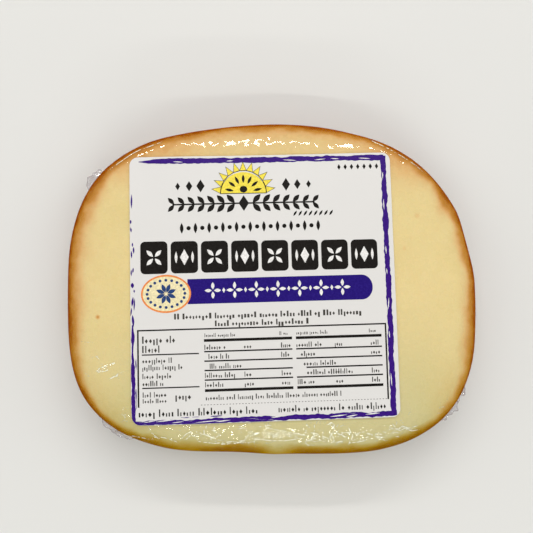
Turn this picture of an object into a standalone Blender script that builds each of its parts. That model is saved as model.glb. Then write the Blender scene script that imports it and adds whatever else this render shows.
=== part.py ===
"""A slice of smoked provolone, shrunk into a clear film bag, with a square paper label on its top face.

The pack is one closed solid: the film lies tight on the cheese, so the two share one outer shape.
Its sealed ends stand out of the side walls as thin crumpled fins with a small ear at each corner.
The label is a thin sheet that follows the crowned top face.

Units are metres, +Z is up, and the origin is on the ground under the middle of the pack.
"""

import math

import bmesh
import bpy
from mathutils import Matrix, Vector
from mathutils.bvhtree import BVHTree

# Outline of the slice seen from above: four quarter ovals that meet where the sides stand out most.
LENGTH = 0.124
WIDTH = 0.101
CREST_X = 0.0080
CREST_Y = -0.0006
# Squareness of each quarter, anticlockwise from the far right one; 2 is a plain ellipse.
SQUARENESS = (2.20, 2.90, 3.50, 3.10)

# Side profile: the wall stands out most at the waist and rounds over towards both faces.
WAIST_HEIGHT = 0.0115
EDGE_HEIGHT = 0.0229
CROWN_HEIGHT = 0.0240
FOOT_INSET = 0.0090
FOOT_FULLNESS = 2.6
SHOULDER_INSET = 0.0125
SHOULDER_FULLNESS = 2.3
ROUND_STEPS = 144
FOOT_STEPS = 5
SHOULDER_STEPS = 7
CROWN_STEPS = 4

# Sealed ends of the bag: a fin low on the left wall and one low on the right wall.
FIN_HEIGHT = 0.0046
FIN_THICKNESS = 0.0008
FIN_REACH = 0.0004
# Bearings between which each fin runs, in degrees.
FINS = ((146.0, 227.0), (312.0, 392.0))
# Each ear on a fin: bearing and half width in degrees, reach from the wall, rise above the fin.
EARS = (
    (152.0, 6.5, 0.0050, 0.0042),
    (218.0, 8.0, 0.0020, 0.0036),
    (323.0, 9.0, 0.0040, 0.0032),
    (374.0, 6.0, 0.0008, 0.0036),
)

# Label: a square of paper, turned a little, held just clear of the film under it.
LABEL_SIDE = 0.0762
LABEL_CORNER = 0.0024
LABEL_CORNER_STEPS = 3
LABEL_THICKNESS = 0.0003
LABEL_GAP = 0.0003
LABEL_X = -0.0036
LABEL_Y = -0.0008
LABEL_TURN = math.radians(1.5)
LABEL_CUTS = 16

# The crossing of the two crest lines, from which bearings are measured.
OVAL_CENTRE = Vector((CREST_X, CREST_Y))
HALF_RIGHT = LENGTH / 2 - CREST_X
HALF_LEFT = LENGTH / 2 + CREST_X
HALF_FAR = WIDTH / 2 - CREST_Y
HALF_NEAR = WIDTH / 2 + CREST_Y
# Radius of the round blank that is spun first and then pressed to the outline.
BLANK_RADIUS = 0.050
# Points closer than this are one point.
MERGE = 0.000001


def clear_scene():
    """Remove every object of the open scene."""
    for thing in list(bpy.data.objects):
        bpy.data.objects.remove(thing, do_unlink=True)


def make_material(name, colour, roughness, metallic=0.0):
    """Return a Principled BSDF material."""
    material = bpy.data.materials.new(name)
    material.use_nodes = True
    shader = material.node_tree.nodes["Principled BSDF"]
    shader.inputs["Base Color"].default_value = (*colour, 1.0)
    shader.inputs["Roughness"].default_value = roughness
    shader.inputs["Metallic"].default_value = metallic
    return material


def add_object(name, bm, material):
    """Turn a bmesh into a smooth-shaded object with one material, and return it."""
    mesh = bpy.data.meshes.new(name)
    bm.to_mesh(mesh)
    bm.free()
    mesh.materials.append(material)
    mesh.shade_smooth()
    mesh.set_sharp_from_angle(angle=math.radians(40))
    thing = bpy.data.objects.new(name, mesh)
    bpy.context.scene.collection.objects.link(thing)
    return thing


def quarter(bearing):
    """Return the half length, half width and squareness of the quarter that a bearing points into."""
    right = math.cos(bearing) >= 0
    far = math.sin(bearing) >= 0
    index = (0 if right else 1) if far else (3 if right else 2)
    return HALF_RIGHT if right else HALF_LEFT, HALF_FAR if far else HALF_NEAR, SQUARENESS[index]


def outline(bearing):
    """Return the outline's point, measured from OVAL_CENTRE, and its outward direction at a bearing."""
    half_x, half_y, power = quarter(bearing)
    across = abs(math.cos(bearing)) / half_x
    along = abs(math.sin(bearing)) / half_y
    radius = (across**power + along**power) ** (-1 / power)
    point = Vector((math.cos(bearing), math.sin(bearing))) * radius
    slope_x = math.copysign((across * radius) ** (power - 1) / half_x, math.cos(bearing))
    slope_y = math.copysign((along * radius) ** (power - 1) / half_y, math.sin(bearing))
    return point, Vector((slope_x, slope_y)).normalized()


def hump(bearing, middle, half_width):
    """Return a smooth hump of height 1 around a middle bearing, all three in degrees."""
    away = (bearing - middle + 180) % 360 - 180
    return max(0.0, 1 - (away / half_width) ** 2) ** 2


def foot_inset(height):
    """Return how far the wall lies inside the outline at a height below the waist."""
    drop = (WAIST_HEIGHT - height) / WAIST_HEIGHT
    return FOOT_INSET * (1 - (1 - drop**FOOT_FULLNESS) ** (1 / FOOT_FULLNESS))


def side_profile():
    """Return (inset, height) pairs from the middle of the base, up the wall, to the middle of the top."""
    foot = []
    for step in range(FOOT_STEPS):
        angle = math.pi / 2 * step / FOOT_STEPS
        foot.append(WAIST_HEIGHT * (1 - math.cos(angle) ** (2 / FOOT_FULLNESS)))
    foot += [FIN_HEIGHT - FIN_THICKNESS / 2, FIN_HEIGHT + FIN_THICKNESS / 2]
    pairs = [(BLANK_RADIUS, 0.0)] + [(foot_inset(height), height) for height in sorted(foot)]
    for step in range(SHOULDER_STEPS + 1):
        angle = math.pi / 2 * step / SHOULDER_STEPS
        inset = SHOULDER_INSET * (1 - math.cos(angle) ** (2 / SHOULDER_FULLNESS))
        lift = (EDGE_HEIGHT - WAIST_HEIGHT) * math.sin(angle) ** (2 / SHOULDER_FULLNESS)
        pairs.append((inset, WAIST_HEIGHT + lift))
    for step in range(1, CROWN_STEPS + 1):
        part = step / CROWN_STEPS
        inset = SHOULDER_INSET + (BLANK_RADIUS - SHOULDER_INSET) * part
        pairs.append((inset, EDGE_HEIGHT + (CROWN_HEIGHT - EDGE_HEIGHT) * (1 - (1 - part) ** 2)))
    return pairs


def lifted(height, bearing):
    """Return a height below the waist after the ears have drawn the fin's rows up."""
    rise = sum(ear_rise * hump(bearing, middle, 2 * width) for middle, width, _, ear_rise in EARS)
    if height <= FIN_HEIGHT:
        return height * (FIN_HEIGHT + rise) / FIN_HEIGHT
    room = WAIST_HEIGHT - FIN_HEIGHT
    return WAIST_HEIGHT - (WAIST_HEIGHT - height) * (room - rise) / room


def press_to_outline(vert):
    """Move a point of the round blank: rim points keep their inset, inner points close in evenly."""
    bearing = math.atan2(vert.co.y, vert.co.x)
    inset = BLANK_RADIUS - math.hypot(vert.co.x, vert.co.y)
    height = vert.co.z
    if 0 < height < WAIST_HEIGHT:
        height = lifted(height, math.degrees(bearing))
        inset = foot_inset(height)
    point, outward = outline(bearing)
    place = point - outward * min(inset, SHOULDER_INSET)
    if inset > SHOULDER_INSET:
        place *= (BLANK_RADIUS - inset) / (BLANK_RADIUS - SHOULDER_INSET)
    vert.co = (*(place + OVAL_CENTRE), height)


def in_fin(bearing):
    """Return whether a bearing in degrees lies along one of the fins."""
    return any((bearing - start) % 360 <= end - start for start, end in FINS)


def fin_reach(bearing):
    """Return how far a fin stands out of the wall at a bearing in degrees."""
    return FIN_REACH + sum(reach * hump(bearing, middle, width) for middle, width, reach, _ in EARS)


def bearing_of(place):
    """Return the bearing in radians at which a place lies, measured from OVAL_CENTRE."""
    return math.atan2(place.y - OVAL_CENTRE.y, place.x - OVAL_CENTRE.x)


def pull_out_fins(bm, fin_faces):
    """Extrude the fin's row of wall faces and draw it outwards to its reach."""
    grown = bmesh.ops.extrude_face_region(bm, geom=fin_faces)
    bmesh.ops.delete(bm, geom=fin_faces, context="FACES")
    for vert in grown["geom"]:
        if isinstance(vert, bmesh.types.BMVert):
            bearing = bearing_of(vert.co)
            _, outward = outline(bearing)
            vert.co += (outward * fin_reach(math.degrees(bearing))).to_3d()


def make_cheese_in_film():
    """Make the film pack with its contents: a spun blank pressed to the outline, with its fins."""
    bm = bmesh.new()
    places = [(BLANK_RADIUS - inset, 0.0, height) for inset, height in side_profile()]
    verts = [bm.verts.new(place) for place in places]
    edges = [bm.edges.new(pair) for pair in zip(verts, verts[1:])]
    bmesh.ops.spin(
        bm,
        geom=verts + edges,
        cent=(0, 0, 0),
        axis=(0, 0, 1),
        angle=math.tau,
        steps=ROUND_STEPS,
        use_merge=True,
    )
    bmesh.ops.remove_doubles(bm, verts=bm.verts[:], dist=MERGE)
    half_row = FIN_THICKNESS / 2 + MERGE
    fin_faces = [
        face
        for face in bm.faces
        if all(abs(vert.co.z - FIN_HEIGHT) < half_row for vert in face.verts)
        and in_fin(math.degrees(math.atan2(face.calc_center_median().y, face.calc_center_median().x)))
    ]
    for vert in bm.verts:
        press_to_outline(vert)
    pull_out_fins(bm, fin_faces)
    bmesh.ops.recalc_face_normals(bm, faces=bm.faces[:])
    material = make_material("cheese_in_clear_film", (0.78, 0.62, 0.30), 0.25)
    return add_object("cheese_in_film", bm, material)


def make_label(pack):
    """Make the label: a square with round corners, cut into strips, laid on the pack and thickened."""
    bm = bmesh.new()
    bmesh.ops.create_grid(bm, x_segments=1, y_segments=1, size=LABEL_SIDE / 2)
    bmesh.ops.bevel(
        bm,
        geom=bm.verts[:],
        offset=LABEL_CORNER,
        segments=LABEL_CORNER_STEPS,
        profile=0.5,
        affect="VERTICES",
        material=-1,
    )
    for step in range(1, LABEL_CUTS):
        cut = -LABEL_SIDE / 2 * math.cos(math.pi * step / LABEL_CUTS)
        for place, across in (((cut, 0, 0), (1, 0, 0)), ((0, cut, 0), (0, 1, 0))):
            everything = bm.verts[:] + bm.edges[:] + bm.faces[:]
            bmesh.ops.bisect_plane(bm, geom=everything, dist=MERGE, plane_co=place, plane_no=across)
    turn = Matrix.Translation((LABEL_X, LABEL_Y, 0)) @ Matrix.Rotation(LABEL_TURN, 4, "Z")
    bmesh.ops.transform(bm, matrix=turn, verts=bm.verts[:])
    surface = BVHTree.FromObject(pack, bpy.context.evaluated_depsgraph_get())
    for vert in bm.verts:
        above = Vector((vert.co.x, vert.co.y, 2 * CROWN_HEIGHT))
        hit = surface.ray_cast(above, Vector((0, 0, -1)))[0]
        vert.co.z = hit.z + LABEL_GAP
    grown = bmesh.ops.extrude_face_region(bm, geom=bm.faces[:])
    raised = [vert for vert in grown["geom"] if isinstance(vert, bmesh.types.BMVert)]
    bmesh.ops.translate(bm, vec=(0, 0, LABEL_THICKNESS), verts=raised)
    bmesh.ops.recalc_face_normals(bm, faces=bm.faces[:])
    return add_object("label", bm, make_material("label_paper", (0.83, 0.81, 0.80), 0.45))


def main():
    """Build the pack and lay its label on it."""
    clear_scene()
    pack = make_cheese_in_film()
    make_label(pack)


if __name__ == "__main__":
    main()
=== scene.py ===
"""A slice of smoked provolone shrunk into clear film, with a printed paper label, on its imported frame.

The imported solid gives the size. Over it go the cheese with its amber smoked rind, the creased film skin, the
crumpled sealed ends of the bag, the label and the colours printed on it. Every length is in metres.
"""

from __future__ import annotations

import logging
import math
import random
import sys
from collections.abc import Callable, Iterable, Sequence
from dataclasses import dataclass, field
from enum import Enum
from functools import partial, reduce

import bmesh
import bpy
from mathutils import Matrix, Vector, noise
from mathutils.bvhtree import BVHTree


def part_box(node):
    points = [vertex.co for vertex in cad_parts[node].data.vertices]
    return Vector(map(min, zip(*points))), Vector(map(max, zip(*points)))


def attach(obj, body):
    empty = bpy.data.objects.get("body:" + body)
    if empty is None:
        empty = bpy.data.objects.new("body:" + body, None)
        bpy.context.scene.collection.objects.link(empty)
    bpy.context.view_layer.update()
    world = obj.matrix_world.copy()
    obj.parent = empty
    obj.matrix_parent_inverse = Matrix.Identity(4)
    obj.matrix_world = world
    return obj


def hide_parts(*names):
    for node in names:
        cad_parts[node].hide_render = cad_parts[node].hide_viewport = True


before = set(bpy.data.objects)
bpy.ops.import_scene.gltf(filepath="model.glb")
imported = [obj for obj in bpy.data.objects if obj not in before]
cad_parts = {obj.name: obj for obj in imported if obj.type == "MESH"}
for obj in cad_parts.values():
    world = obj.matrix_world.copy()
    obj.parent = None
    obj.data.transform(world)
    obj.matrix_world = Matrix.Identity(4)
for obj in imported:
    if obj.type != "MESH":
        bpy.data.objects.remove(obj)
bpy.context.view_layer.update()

LOG = logging.getLogger("provolone_pack")
MM = 0.001
BODY = "root"
PACK_NODE = "cheese_in_film"
LABEL_NODE = "label"
MERGE = 0.001 * MM
SHARP_EDGE = math.radians(50)
# Between these places across the pack its near side gives way to the rest: in the rind's depth, and in the
# cheese's colours, which are painted darker and greener there as shade.
NEAR_REACH = (-46.0 * MM, 2.0 * MM)

Mesh = bmesh.types.BMesh
Vert = bmesh.types.BMVert
Piece = bpy.types.Object
Material = bpy.types.Material
Socket = bpy.types.NodeSocket
Inputs = dict[str | int, object]
Colour = tuple[float, float, float]
Place = tuple[float, float, float]
Point = tuple[float, float]
Span = tuple[float, float]
# A hump on the outline is its middle and half width in degrees, and its height.
Humps = tuple[tuple[float, float, float], ...]

PAPER_WHITE: Colour = (0.722, 0.697, 0.686)


class Slot(Enum):
    """The record's material slots."""

    CHEESE = "cheese"
    FILM = "film"
    PAPER = "label_paper"


class Ink(Enum):
    """The flat colours printed on the label, as linear red, green and blue."""

    VIOLET = (0.030, 0.002, 0.168)
    INDIGO = (0.012, 0.001, 0.150)
    BLACK = (0.006, 0.004, 0.003)
    GREY = (0.045, 0.040, 0.035)
    YELLOW = (0.790, 0.640, 0.070)
    WHITE = (0.720, 0.698, 0.690)
    CREAM = (0.740, 0.650, 0.400)
    ORANGE = (0.730, 0.230, 0.060)
    NAVY = (0.016, 0.045, 0.160)


def smooth_step(low: float, high: float, value: float) -> float:
    """Return 0 below low, 1 above high, and an even S-curve between them."""
    part = min(1.0, max(0.0, (value - low) / (high - low)))
    return part * part * (3 - 2 * part)


def hump(bearing: float, middle: float, half_width: float) -> float:
    """Return a smooth hump of height 1 around a middle bearing, all three in degrees."""
    away = (bearing - middle + 180) % 360 - 180
    return max(0.0, 1 - (away / half_width) ** 2) ** 2


def heading(turn: float) -> Vector:
    """Return the flat direction at an angle in radians from +X."""
    return Vector((math.cos(turn), math.sin(turn)))


def humps(bearing: float, marks: Humps) -> float:
    """Return the summed height of some humps at a bearing in degrees."""
    return sum(height * hump(bearing, middle, half_width) for middle, half_width, height in marks)


def waves(place: Vector, length: float, shift: Place = (0.0, 0.0, 0.0)) -> float:
    """Return smooth noise whose waves are about a given length, read from a shifted part of the noise."""
    return noise.noise(place / length + Vector(shift))


# ----------------------------------------------------------
# Shape of the slice
# ----------------------------------------------------------


@dataclass(frozen=True)
class Oval:
    """The slice's outline seen from above: four quarter ovals that meet where the sides stand out most."""

    length: float
    width: float
    crest_x: float = 8.0 * MM
    crest_y: float = -0.6 * MM
    # How square the far right, far left, near left and near right quarters are; 2 would be an ellipse.
    squareness: tuple[float, float, float, float] = (2.13, 2.90, 3.36, 3.05)
    # The flats that the hand cut left on the outline, as humps that are taken off it.
    flats: Humps = (
        (60.0, 36.0, 0.42 * MM),
        (70.0, 30.0, 0.62 * MM),
        (112.0, 26.0, 0.30 * MM),
        (131.0, 24.0, 1.05 * MM),
        (14.0, 13.0, 0.70 * MM),
        (246.0, 16.0, 0.80 * MM),
    )

    @property
    def centre(self) -> Vector:
        """The crossing of the crest lines, from which bearings are measured."""
        return Vector((self.crest_x, self.crest_y))

    def at(self, bearing: float) -> tuple[Vector, Vector]:
        """Find the outline at a bearing.

        Args:
            bearing: angle from +X about the centre, in radians.

        Returns:
            The outline's point measured from the centre, and its outward direction.
        """
        right, far = math.cos(bearing) >= 0, math.sin(bearing) >= 0
        half_x = self.length / 2 + (-self.crest_x if right else self.crest_x)
        half_y = self.width / 2 + (-self.crest_y if far else self.crest_y)
        power = self.squareness[(0 if right else 1) if far else (3 if right else 2)]
        across = abs(math.cos(bearing)) / half_x
        along = abs(math.sin(bearing)) / half_y
        radius = (across**power + along**power) ** (-1 / power)
        slope_x = math.copysign((across * radius) ** (power - 1) / half_x, math.cos(bearing))
        slope_y = math.copysign((along * radius) ** (power - 1) / half_y, math.sin(bearing))
        cut = humps(math.degrees(bearing), self.flats)
        point = heading(bearing) * (radius - cut)
        return point, Vector((slope_x, slope_y)).normalized()


@dataclass(frozen=True)
class Rows:
    """How many rows of faces each stretch of the side profile gets."""

    base: int
    foot: int
    shoulder: int
    crown: int


@dataclass(frozen=True)
class SideProfile:
    """The slice's side: a flat base, a rounded foot, a waist, a rounded shoulder and a low crown."""

    crown_height: float
    edge_drop: float = 1.1 * MM
    waist_height: float = 11.5 * MM
    foot_inset: float = 9.0 * MM
    foot_fullness: float = 2.6
    shoulder_inset: float = 12.5 * MM
    shoulder_fullness: float = 2.3
    blank_radius: float = 50.0 * MM
    # The crown's rows crowd towards the shoulder by this power.
    crowding: float = 1.6
    # Where the shoulder is tighter, by a share of its inset.
    tight: Humps = ((138.0, 30.0, 0.52), (57.0, 28.0, 0.52))

    @property
    def edge_height(self) -> float:
        """Height at which the shoulder runs into the crowned top."""
        return self.crown_height - self.edge_drop

    def squeeze(self, bearing: float) -> float:
        """Return the share of its full inset that the shoulder takes up at a bearing in degrees."""
        return 1 - humps(bearing, self.tight)

    def foot_inset_at(self, height: float) -> float:
        """Return how far the wall lies inside the outline at a height below the waist."""
        drop = min(1.0, max(0.0, (self.waist_height - height) / self.waist_height))
        return self.foot_inset * (1 - (1 - drop**self.foot_fullness) ** (1 / self.foot_fullness))

    def pairs(self, rows: Rows) -> list[Point]:
        """Walk the profile from the middle of the base, up the wall, to the middle of the top.

        Args:
            rows: number of steps on each stretch.

        Returns:
            Pairs of inset from the outline and height.
        """
        inner = self.blank_radius - self.foot_inset
        pairs = [(self.blank_radius - inner * step / rows.base, 0.0) for step in range(rows.base)]
        for step in range(rows.foot):
            fall = math.cos(math.pi / 2 * step / rows.foot) ** (2 / self.foot_fullness)
            height = self.waist_height * (1 - fall)
            pairs.append((self.foot_inset_at(height), height))
        for step in range(rows.shoulder + 1):
            angle = math.pi / 2 * step / rows.shoulder
            inset = self.shoulder_inset * (1 - max(0.0, math.cos(angle)) ** (2 / self.shoulder_fullness))
            rise = (self.edge_height - self.waist_height) * math.sin(angle) ** (2 / self.shoulder_fullness)
            pairs.append((inset, self.waist_height + rise))
        for step in range(1, rows.crown + 1):
            part = (step / rows.crown) ** self.crowding
            inset = self.shoulder_inset + (self.blank_radius - self.shoulder_inset) * part
            pairs.append((inset, self.edge_height + self.edge_drop * (1 - (1 - part) ** 2)))
        return pairs


@dataclass(frozen=True)
class RimPoint:
    """Where a point of the slice's skin lies: its bearing in degrees, inset from the outline and height."""

    bearing: float
    inset: float
    height: float


Relief = Callable[[Vector, RimPoint], float]


@dataclass(frozen=True)
class SliceForm:
    """The whole outer form of the slice, from which the cheese, the film and the label's bed are made."""

    oval: Oval
    side: SideProfile
    swell_height: float = 0.30 * MM
    swell_length: float = 26.0 * MM
    dent_height: float = 0.10 * MM
    dent_length: float = 9.0 * MM

    def spin_blank(self, bm: Mesh, rows: Rows, steps: int) -> list[Vert]:
        """Spin the side profile into a round blank.

        Args:
            bm: the mesh that the blank is added to.
            rows: rows of faces up the side.
            steps: columns of faces around.

        Returns:
            The blank's points, its seam and poles closed.
        """
        old = set(bm.verts)
        radius = self.side.blank_radius
        places = [(radius - inset, 0.0, height) for inset, height in self.side.pairs(rows)]
        verts = [bm.verts.new(place) for place in places]
        edges = [bm.edges.new(pair) for pair in zip(verts, verts[1:])]
        middle, upright = (0, 0, 0), (0, 0, 1)
        bmesh.ops.spin(
            bm, geom=verts + edges, cent=middle, axis=upright, angle=math.tau, steps=steps, use_merge=True
        )
        new = [vert for vert in bm.verts if vert not in old]
        bmesh.ops.remove_doubles(bm, verts=new, dist=MERGE)
        return [vert for vert in bm.verts if vert not in old]

    def press(self, verts: Iterable[Vert]) -> dict[Vert, RimPoint]:
        """Press a round blank to the outline: rim points keep their inset, inner ones close in evenly.

        Args:
            verts: the blank's points.

        Returns:
            Where each point lies on the slice.
        """
        spots: dict[Vert, RimPoint] = {}
        side = self.side
        for vert in verts:
            bearing = math.atan2(vert.co.y, vert.co.x)
            inset = side.blank_radius - math.hypot(vert.co.x, vert.co.y)
            point, outward = self.oval.at(bearing)
            squeeze = side.squeeze(math.degrees(bearing)) if vert.co.z > side.waist_height else 1.0
            shoulder = min(inset, side.shoulder_inset) * squeeze
            place = point - outward * shoulder
            if inset > side.shoulder_inset:
                place *= (side.blank_radius - inset) / (side.blank_radius - side.shoulder_inset)
            inset = shoulder + max(0.0, inset - side.shoulder_inset)
            spots[vert] = RimPoint(math.degrees(bearing) % 360, inset, vert.co.z)
            vert.co = (*(place + self.oval.centre), vert.co.z)
        return spots

    def unevenness(self, place: Vector, spot: RimPoint) -> float:
        """Find how far the hand-cut slice swells or dips; its base stays flat.

        Args:
            place: a place on the slice.
            spot: the same place as a rim point.

        Returns:
            The distance outwards.
        """
        slow = self.swell_height * waves(place, self.swell_length)
        quick = self.dent_height * waves(place, self.dent_length, (7.1, 3.3, 5.9))
        return (slow + quick) * smooth_step(0, self.side.waist_height / 2, spot.height)

    def skin(
        self, bm: Mesh, rows: Rows, steps: int, offset: float, relief: Relief | None = None
    ) -> dict[Vert, RimPoint]:
        """Make a closed skin of the slice at a distance from its surface.

        Args:
            bm: the mesh that the skin is added to.
            rows: rows of faces up the side.
            steps: columns of faces around.
            offset: distance outside the slice's own surface.
            relief: extra height over the surface, by place and rim point.

        Returns:
            Where each point of the skin lies on the slice.
        """
        verts = self.spin_blank(bm, rows, steps)
        spots = self.press(verts)
        faces = list({face for vert in verts for face in vert.link_faces})
        bmesh.ops.recalc_face_normals(bm, faces=faces)
        for vert in verts:
            vert.normal_update()
        shifts = {}
        for vert in verts:
            shift = offset + self.unevenness(vert.co, spots[vert])
            if relief:
                shift += relief(vert.co, spots[vert])
            shifts[vert] = vert.normal * shift
        for vert, shift in shifts.items():
            vert.co += shift
        return spots


# ----------------------------------------------------------
# Materials
# ----------------------------------------------------------


@dataclass(frozen=True)
class Patches:
    """Patches of noise: about how large they are, and the noise's values between which they fade in."""

    size: float
    low: float
    high: float
    detail: float = 2.0
    rough: float = 0.6


class Graph:
    """A material's node tree, with short calls for adding and joining nodes."""

    def __init__(self, name: str) -> None:
        """Start an empty material.

        Args:
            name: the material's name.
        """
        self.material = bpy.data.materials.new(name)
        self.material.use_nodes = True
        self.tree = self.material.node_tree
        self.tree.nodes.clear()

    def node(self, kind: str, inputs: Inputs | None = None, **settings: object) -> bpy.types.Node:
        """Add a node.

        Args:
            kind: the node's type without its ShaderNode prefix.
            inputs: values or sockets for the node's inputs, by name or number.
            settings: the node's own settings.

        Returns:
            The new node.
        """
        made = self.tree.nodes.new("ShaderNode" + kind)
        for name, value in settings.items():
            setattr(made, name, value)
        for name, value in (inputs or {}).items():
            if isinstance(value, Socket):
                self.tree.links.new(value, made.inputs[name])
            else:
                made.inputs[name].default_value = value
        return made

    def object_place(self) -> Socket:
        """Return the place on the object, in metres."""
        return self.node("TexCoord").outputs["Object"]

    def attribute(self, name: str) -> Socket:
        """Return the value of one of the piece's own attributes."""
        return self.node("Attribute", attribute_name=name).outputs["Fac"]

    def maths(self, operation: str, *values: object) -> Socket:
        """Return the number that an operation on numbers gives."""
        return self.node("Math", dict(enumerate(values)), operation=operation).outputs[0]

    def times(self, *values: Socket) -> Socket:
        """Return the product of some numbers."""
        return reduce(partial(self.maths, "MULTIPLY"), values)

    def vectors(self, operation: str, *values: object) -> Socket:
        """Return the vector that an operation on vectors gives."""
        return self.node("VectorMath", dict(enumerate(values)), operation=operation).outputs[0]

    def grain(self, place: Socket, size: float, detail: float = 2.0, rough: float = 0.5) -> Socket:
        """Return noise whose grains are about a given size across."""
        inputs = {"Vector": place, "Scale": 1 / size, "Detail": detail, "Roughness": rough}
        return self.node("TexNoise", inputs).outputs["Fac"]

    def patches(self, place: Socket, look: Patches, between: float = 0.0, on: float = 1.0) -> Socket:
        """Return one value between patches of noise and another on them."""
        fog = self.grain(place, look.size, look.detail, look.rough)
        return self.spread(fog, look.low, look.high, between, on)

    def blend(self, amount: Socket, first: Socket | Colour, second: Socket | Colour) -> Socket:
        """Turn one colour into another.

        Args:
            amount: 0 for the first colour and 1 for the second.
            first: a colour, or the socket that gives it.
            second: a colour, or the socket that gives it.

        Returns:
            The blended colour.
        """
        ends = [(*colour, 1.0) if isinstance(colour, tuple) else colour for colour in (first, second)]
        return self.node("Mix", {0: amount, 6: ends[0], 7: ends[1]}, data_type="RGBA").outputs[2]

    def spread(self, value: Socket, low: float, high: float, start: float = 0.0, end: float = 1.0) -> Socket:
        """Return a value spread smoothly from one range to another."""
        inputs = {"Value": value, 1: low, 2: high, 3: start, 4: end}
        return self.node("MapRange", inputs, interpolation_type="SMOOTHSTEP").outputs["Result"]

    def fade(self, value: Socket, reach: Span) -> Socket:
        """Return 1 before a stretch, 0 past it and a smooth fall over it."""
        return self.spread(value, *reach, 1.0, 0.0)

    def ramp(self, value: Socket, stops: Sequence[tuple[float, Colour]]) -> Socket:
        """Read a colour from a row of colour stops.

        Args:
            value: where along the row it is read, from 0 to 1.
            stops: places along the row and their colours.

        Returns:
            The colour.
        """
        made = self.node("ValToRGB", {"Fac": value})
        row = made.color_ramp.elements
        row.remove(row[-1])
        row[0].position, row[0].color = stops[0][0], (*stops[0][1], 1.0)
        for position, colour in stops[1:]:
            row.new(position).color = (*colour, 1.0)
        return made.outputs["Color"]

    def bump(
        self, height: Socket, distance: float, strength: float = 1.0, under: Socket | None = None
    ) -> Socket:
        """Roughen a normal.

        Args:
            height: the relief, from 0 to 1.
            distance: how far out a relief of 1 stands, in metres.
            strength: the share of the relief that is used.
            under: the normal that is roughened, or none for the surface's own.

        Returns:
            The roughened normal.
        """
        inputs: Inputs = {"Height": height, "Distance": distance, "Strength": strength}
        if under is not None:
            inputs["Normal"] = under
        return self.node("Bump", inputs).outputs["Normal"]

    def coat(self, kind: str, colour: Colour, **inputs: object) -> Socket:
        """Return a simple shader of one colour, with more of its inputs by name."""
        return self.node(kind, {"Color": (*colour, 1.0), **inputs}).outputs[0]

    def layer(self, share: float | Socket, under: Socket, over: Socket) -> Socket:
        """Return a shader with a share of another laid over it."""
        return self.node("MixShader", {0: share, 1: under, 2: over}).outputs[0]

    def finish(self, shader: Socket) -> Material:
        """Join a shader to the output and return the material."""
        self.node("OutputMaterial", {"Surface": shader})
        return self.material

    def opaque(self, inputs: Inputs) -> Material:
        """Finish with an opaque surface that has the given inputs, and return the material."""
        return self.finish(self.node("BsdfPrincipled", inputs).outputs[0])


@dataclass(frozen=True)
class Speck:
    """A small stain on the cheese."""

    place: Place
    radius: float
    strength: float


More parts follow.
